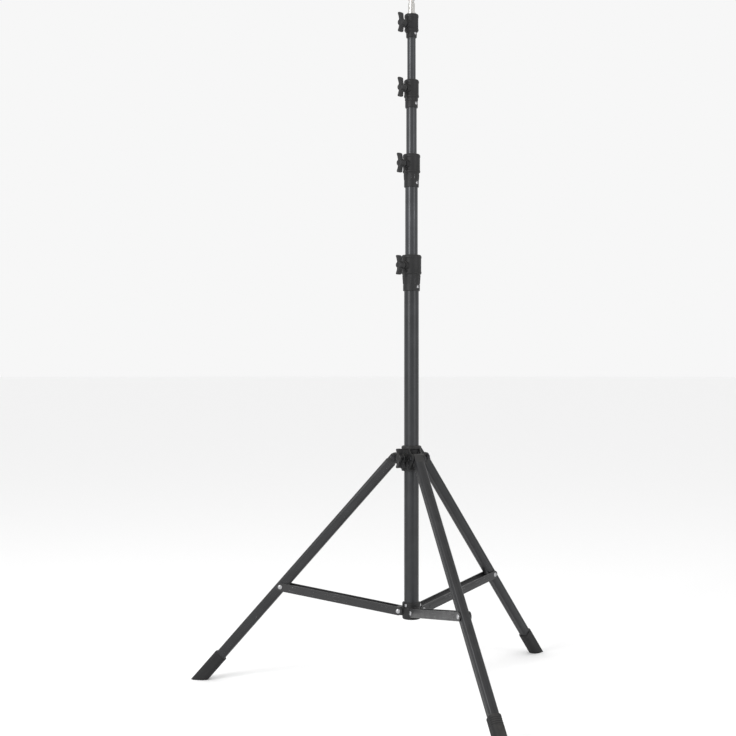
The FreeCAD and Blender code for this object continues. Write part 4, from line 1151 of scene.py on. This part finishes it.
def make_leg_ends():
    """Moulded ends between the hub's ears: ringed eye, cored neck, shoulder, plug in the tube."""
    sizes = bpy.context.scene.stand_sizes
    depth, width = sizes.leg_depth, sizes.leg_width
    half, corner = width / 2, sizes.leg_corner
    piece = stadium(LEG_EYE_R, -2 * LEG_START, 0, -half, half)
    sliced(piece, (0, 0, 3 * MM - LEG_START), (0, 0, -1))
    rounded(piece, 0.7 * MM, 3)
    shoulder = drawn("shoulder", corner, [
        (depth - 1.2 * MM, width - 0.6 * MM, 5.6 * MM - LEG_START), (depth, width, 4.4 * MM - LEG_START),
        (depth, width, 0.1 * MM - LEG_START)])
    cut(piece, shoulder, operation="UNION")
    walls = 2 * (sizes.tube_wall + SEAT)
    inside = depth - walls, width - walls
    plug = drawn("plug", corner - sizes.tube_wall, [
        (inside[0] - 1.6 * MM, inside[1] - 1.6 * MM, -LEG_START - 34 * MM),
        (*inside, -LEG_START - 32 * MM), (*inside, 1 * MM - LEG_START)])
    cutters = [rod(BOLT_R, (0, -width, 0), (0, width, 0), 40)]
    for side in (1, -1):
        moat = turned("moat", in_mm((6.6, 0), (8.8, 0), (9.0, 2), (6.4, 2), (6.6, 0)), 48)
        slot = rounded(block((14 * MM, 2.4 * MM, 2.2 * MM), (0, side * half, -11.9 * MM)), 0.5 * MM, 2)
        cutters += [on_side(moat, side, half - 0.7 * MM, 0), slot]
    cut(piece, *cutters)
    piece = joined("leg_end", [piece, plug])
    on_each_side(piece, "leg_end_moulded", "leg", "leg_end", leg_place, "leg_end")


def make_feet():
    """Rubber boots with grip rings, cut flat and grooved where they stand on the floor."""
    sizes = bpy.context.scene.stand_sizes
    depth, width = sizes.foot_depth, sizes.foot_width
    top = leg_end_z() + FOOT_UP
    rim, groove = (depth - 1.6 * MM, width - 1.6 * MM), (depth - 1.5 * MM, width - 1.5 * MM)
    stations = [(*rim, top), (depth - 0.4 * MM, width - 0.4 * MM, top - 0.5 * MM),
                (depth, width, top - 1.4 * MM)]
    for down in GRIP_RINGS:
        stations += [(depth, width, top - down), (*groove, top - down - 0.6 * MM),
                     (*groove, top - down - 1.6 * MM), (depth, width, top - down - 2.2 * MM)]
    stations.append((depth, width, -LEG_LENGTH - 40 * MM))
    boot = drawn("boot", 10 * MM, stations, 8)
    into_floor = (-math.sin(LEG_ANGLE), 0, -math.cos(LEG_ANGLE))
    sliced(boot, (0, 0, -LEG_LENGTH), into_floor)
    rounded(boot, 1.0 * MM, 3, 38.0)
    leg = sizes.leg_depth + 2 * SEAT, sizes.leg_width + 2 * SEAT
    socket = drawn("socket", sizes.leg_corner + SEAT, [(*leg, leg_end_z() - 0.1 * MM), (*leg, top + 5 * MM)])
    into_leg = leg_place("front").inverted() @ about_z(AZIMUTH["front"])
    treads = [moved(block((1.8 * MM, 60 * MM, 2.6 * MM), (SOLE_R + x * MM, 0, 0)), into_leg) for x in TREADS]
    cut(boot, socket, *treads)
    on_each_side(boot, "foot_boot", "leg", "rubber", leg_place, "foot")


# ---- Braces -------------------------------------------------------------------------------
BEAD_START = 27 * MM


def strap(side):
    """Pressed steel strap on one side of a leg, with a raised stiffening bead."""
    sizes = bpy.context.scene.stand_sizes
    inner, half = ear_inner(), sizes.strap_width / 2
    outer = inner + sizes.strap_thickness
    faces = sorted((side * inner, side * outer))
    plate = rounded(stadium(half, 0, BRACE_LENGTH, *faces), 0.4 * MM, 3)
    proud = sorted((side * (outer - 0.5 * MM), side * (outer + 0.8 * MM)))
    bead = rounded(stadium(4.2 * MM, BEAD_START, BRACE_LENGTH - BEAD_START, *proud), 0.6 * MM, 3)
    hollow = sorted((side * (inner - 0.5 * MM), side * (inner + 0.9 * MM)))
    recess = stadium(3.0 * MM, BEAD_START, BRACE_LENGTH - BEAD_START, *hollow)
    cut(plate, bead, operation="UNION")
    holes = [rod(RIVET_R + SEAT, (0, -2 * half, z), (0, 2 * half, z), 40) for z in (0, BRACE_LENGTH)]
    return cut(plate, recess, *holes)


def domed_head():
    """Rivet head standing up from z = 0."""
    return turned("head", in_mm((5.5, 0), (5.5, 0.35), (5.1, 1.0), (4.2, 1.6), (2.9, 2.0), (1.4, 2.18),
                                (0.2, 2.2)), 40)


def make_braces():
    """Pair of straps to each leg, and the rivets that stay with them."""
    sizes = bpy.context.scene.stand_sizes
    inner = ear_inner()
    outer = inner + sizes.strap_thickness
    straps = joined("straps", [strap(1), strap(-1)])
    rivets = [rod(RIVET_R, (0, -outer, 0), (0, outer, 0), 40)]
    for side in (1, -1):
        rivets += [on_side(domed_head(), side, outer, z) for z in (0, BRACE_LENGTH)]
        rivets.append(rod(RIVET_R, (0, side * inner, BRACE_LENGTH), (0, side * outer, BRACE_LENGTH), 40))
    rivets = joined("rivets", rivets)
    on_each_side(straps, "brace_straps_pressed", "brace", "enamel", brace_place,
                 "brace_straps")
    on_each_side(rivets, "brace_rivets_domed", "brace", "steel", brace_place, "brace_rivets")


# ---- Fasteners ----------------------------------------------------------------------------
def pan_screw(shank):
    """Small screw pointing down from z = 0, its cross-recessed head above."""
    screw = turned("pan", [(2.0 * MM, -shank), *in_mm(
        (2.0, -0.01), (3.6, 0), (3.6, 0.6), (3.2, 1.2), (2.3, 1.6), (1.0, 1.78), (0.2, 1.8))], 40)
    cross = [block((3.8 * MM, 0.8 * MM, 2.2 * MM), (0, 0, 1.9 * MM), (0, 0, turn)) for turn in (0, QUARTER)]
    return cut(screw, *cross)


def radial_screw(radius, shank, height, azimuth):
    """Small screw that points at the column's axis, its head in the seat of a round surface."""
    return moved(pan_screw(shank), radial_place(radius, height, azimuth))


def collar_screws(node, lower):
    """The two screws that hold a collar to its lower tube."""
    surface = tube_radius(lower) + bpy.context.scene.stand_sizes.skirt_wall
    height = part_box(node)[0].z + SCREW_UP
    return [radial_screw(surface, 3.8 * MM, height, KNOB_AZIMUTH + side) for side in (QUARTER, -QUARTER)]


def hexagon(height, chamfers):
    """Hexagonal prism on z = 0, 10 mm across its flats, its corners turned off at the ends."""
    prism = rod(10.0 * MM / math.sqrt(3), (0, 0, 0), (0, 0, height), 6)
    full, less = 5.9 * MM, 5.05 * MM
    lower = [(less, 0), (full, 0.5 * MM)] if "low" in chamfers else [(full, -0.1 * MM)]
    upper = [(full, height - 0.5 * MM), (less, height)] if "high" in chamfers else [(full, height + 0.1 * MM)]
    return cut(prism, turned("turning", lower + upper, 64), operation="INTERSECT")


def pivot_bolt():
    """Bolt through a pair of ears, washer and head on the -Y side."""
    outer = ear_outer()
    washer = turned("washer", in_mm((6.2, 0), (6.2, 0.6), (6.0, 0.8)), 48)
    head = moved(hexagon(4.0 * MM, ("high",)), Matrix.Translation((0, 0, 0.8 * MM)))
    shank_end = outer + 6.5 * MM
    shank = turned("shank", [(3 * MM, 0), (3 * MM, 0.6 * MM - outer - shank_end),
                             (2.4 * MM, -outer - shank_end)], 40)
    bolt = joined("bolt", [washer, head, shank])
    return on_side(bolt, -1, outer, 0)


def pivot_nut():
    """Lock nut on the +Y side: chamfered hexagon, round collar and its plastic ring."""
    outer = ear_outer()
    body = hexagon(3.8 * MM, ("low", "high"))
    crown = turned("crown", in_mm((4.7, 3.4), (4.6, 4.6), (4.1, 5.0)), 48)
    cut(body, crown, operation="UNION")
    return on_side(cut(body, rod(RIVET_R + SEAT, (0, 0, -1 * MM), (0, 0, 9 * MM), 40)), 1, outer, 0)


def make_screws():
    """Small screws of the collars, the top socket and the brace hub."""
    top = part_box("brace_hub")[1].z
    cup = [radial_screw(CUP_RING, 6.0 * MM, top - CUP_SCREW_DOWN, angle + CUP_SCREW_TURN)
           for angle in AZIMUTH.values()]
    for (collar, body), tube in zip((*COLLARS, ("top_socket", "riser_3")), TUBES):
        on_column = body == "column"
        node = "base_screws" if on_column else collar + "_screws"
        screws = (cup if on_column else []) + collar_screws(collar, tube)
        finished(joined(node, screws), node + "_panhead", body, MATERIALS["steel"], None, (node,))


def make_pivot_bolts():
    """Bolt and lock nut at each of the leg hub's three pivots."""
    for node, make in (("leg_pivot_bolts", pivot_bolt), ("leg_pivot_nuts", pivot_nut)):
        pieces = [moved(make(), pivot_place(side)) for side in SIDES]
        finished(joined(node, pieces), node + "_turned", "leg_slider", MATERIALS["black_steel"],
                 None, (node,))


# ---- Pieces kept from the frame -----------------------------------------------------------
KEPT = {
    "frame_acetal": ("leg_hub_liner", "base_collar_liner", "collar_1_liner", "collar_2_liner",
                     "riser_1_guide_bush", "riser_2_guide_bush", "riser_3_guide_bush"),
    "frame_brass": tuple(node + "_insert" for node in CLAMPS),
    "frame_steel": tuple(node + "_clamp_screw" for node in CLAMPS)
    + tuple("brace_pin_" + side for side in SIDES),
    "frame_nylon": ("base_plug",),
}


def finish_kept_pieces():
    """Materials of the liners, inserts, screws, pins, bushes and plug that the frame shows."""
    for finish, nodes in KEPT.items():
        for node in nodes:
            for slot in frame["nodes"][node].material_slots:
                slot.material = MATERIALS[finish]


# ---- Stage --------------------------------------------------------------------------------
FLOOR_RADIUS = 80.0
AIM_DROP = 0.0072
AIM_LEFT = 0.1037


def softbox(name, place, target, size, power):
    """Rectangular area light that looks at a point."""
    deselect()
    aim = (Vector(target) - Vector(place)).to_track_quat("-Z", "Y").to_euler()
    bpy.ops.object.light_add(type="AREA", location=place, rotation=aim)
    light = bpy.context.object
    light.name = name
    light.data.shape = "RECTANGLE"
    light.data.size, light.data.size_y = size
    light.data.energy = power
    return light


def make_stage():
    """Pale floor, white surroundings, soft lights and the camera."""
    stage = bpy.context.scene.stand_stage
    deselect()
    bpy.ops.mesh.primitive_circle_add(vertices=128, radius=FLOOR_RADIUS, fill_type="NGON",
                                      location=(0, 0, -0.0002))
    floor = bpy.context.object
    floor.name = "studio_floor"
    paint = Finish("Studio Floor")
    paint.steady(Base_Color=(*stage.floor, 1.0), Roughness=0.9, Specular_IOR_Level=0.1)
    floor.data.materials.append(paint.material)
    world = bpy.data.worlds.new("Studio")
    bpy.context.scene.world = world
    world.use_nodes = True
    background = next(n for n in world.node_tree.nodes if n.type == "BACKGROUND")
    background.inputs["Color"].default_value = (1.0, 1.0, 1.0, 1.0)
    background.inputs["Strength"].default_value = stage.surroundings
    out = Vector((math.cos(stage.azimuth), math.sin(stage.azimuth), 0))
    right = Vector((-out.y, out.x, 0))
    target = (0, 0, 0.8)
    softbox("key_light", 2.2 * out - 1.9 * right + Vector((0, 0, 1.9)), target, (0.7, 2.2), stage.key_power)
    softbox("fill_light", 1.8 * out + 2.4 * right + Vector((0, 0, 1.3)), target, (0.9, 1.8),
            stage.fill_share * stage.key_power)
    eye = stage.distance * out + Vector((0, 0, stage.height))
    aim = Vector((0, 0, stage.height - AIM_DROP)) - AIM_LEFT * right
    deselect()
    bpy.ops.object.camera_add(location=eye, rotation=(aim - eye).to_track_quat("-Z", "Y").to_euler())
    camera = bpy.context.object
    camera.data.lens = stage.lens
    bpy.context.scene.camera = camera
    bpy.context.scene.view_settings.view_transform = "Standard"


# ---- Operators ----------------------------------------------------------------------------
class STAND_OT_finishes(bpy.types.Operator):
    """Make the materials of every piece"""
    bl_idname = "stand.finishes"
    bl_label = "Finishes"

    def execute(self, context):
        make_materials()
        return {"FINISHED"}


class STAND_OT_tubes(bpy.types.Operator):
    """Draw the column's four tubes"""
    bl_idname = "stand.tubes"
    bl_label = "Column Tubes"

    def execute(self, context):
        make_tubes()
        return {"FINISHED"}


class STAND_OT_collars(bpy.types.Operator):
    """Cast the three sleeve collars"""
    bl_idname = "stand.collars"
    bl_label = "Collars"

    def execute(self, context):
        for (node, body), lower, upper in zip(COLLARS, TUBES, TUBES[1:]):
            make_collar(node, body, lower, upper)
        return {"FINISHED"}


class STAND_OT_top(bpy.types.Operator):
    """Cast the top socket and turn its stud"""
    bl_idname = "stand.top"
    bl_label = "Top Socket and Stud"

    def execute(self, context):
        make_top_socket()
        make_stud()
        return {"FINISHED"}


class STAND_OT_knobs(bpy.types.Operator):
    """Mould the five wing knobs"""
    bl_idname = "stand.knobs"
    bl_label = "Knobs"

    def execute(self, context):
        make_knobs()
        return {"FINISHED"}


class STAND_OT_hubs(bpy.types.Operator):
    """Cast the sliding leg hub and the fixed brace hub"""
    bl_idname = "stand.hubs"
    bl_label = "Hubs"

    def execute(self, context):
        make_leg_hub()
        make_brace_hub()
        return {"FINISHED"}


class STAND_OT_legs(bpy.types.Operator):
    """Make the legs' bars, moulded ends and rubber feet"""
    bl_idname = "stand.legs"
    bl_label = "Legs"

    def execute(self, context):
        make_leg_tubes()
        make_leg_ends()
        make_feet()
        return {"FINISHED"}


class STAND_OT_braces(bpy.types.Operator):
    """Press the braces' straps and set their rivets"""
    bl_idname = "stand.braces"
    bl_label = "Braces"

    def execute(self, context):
        make_braces()
        return {"FINISHED"}


class STAND_OT_fasteners(bpy.types.Operator):
    """Turn the screws, pivot bolts and nuts"""
    bl_idname = "stand.fasteners"
    bl_label = "Fasteners"

    def execute(self, context):
        make_screws()
        make_pivot_bolts()
        return {"FINISHED"}


class STAND_OT_kept(bpy.types.Operator):
    """Finish the inner pieces that the frame itself shows"""
    bl_idname = "stand.kept"
    bl_label = "Inner Pieces"

    def execute(self, context):
        finish_kept_pieces()
        return {"FINISHED"}


class STAND_OT_stage(bpy.types.Operator):
    """Set up the floor, light and camera"""
    bl_idname = "stand.stage"
    bl_label = "Stage"

    def execute(self, context):
        make_stage()
        return {"FINISHED"}


OPERATORS = (STAND_OT_finishes, STAND_OT_tubes, STAND_OT_collars, STAND_OT_top, STAND_OT_knobs,
             STAND_OT_hubs, STAND_OT_legs, STAND_OT_braces, STAND_OT_fasteners, STAND_OT_kept,
             STAND_OT_stage)


class STAND_PT_panel(bpy.types.Panel):
    """The stand's pieces and settings"""
    bl_idname = "STAND_PT_panel"
    bl_label = "Light Stand"
    bl_space_type = "VIEW_3D"
    bl_region_type = "UI"
    bl_category = "Light Stand"

    def draw(self, context):
        for operator in OPERATORS:
            self.layout.operator(operator.bl_idname)
        for settings in (context.scene.stand_sizes, context.scene.stand_finishes, context.scene.stand_stage):
            box = self.layout.box()
            for name in settings.__annotations__:
                box.prop(settings, name)


SETTINGS = {"stand_sizes": StandSizes, "stand_finishes": StandFinishes, "stand_stage": StageSettings}
CLASSES = (*SETTINGS.values(), *OPERATORS, STAND_PT_panel)


def register():
    for cls in CLASSES:
        bpy.utils.register_class(cls)
    for name, settings in SETTINGS.items():
        setattr(bpy.types.Scene, name, PointerProperty(type=settings))


def unregister():
    for name in SETTINGS:
        delattr(bpy.types.Scene, name)
    for cls in reversed(CLASSES):
        bpy.utils.unregister_class(cls)


def main():
    """Builds every piece and the stage."""
    register()
    for operator in OPERATORS:
        name = operator.bl_idname.split(".")[1]
        getattr(bpy.ops.stand, name)()


if __name__ == "__main__":
    main()
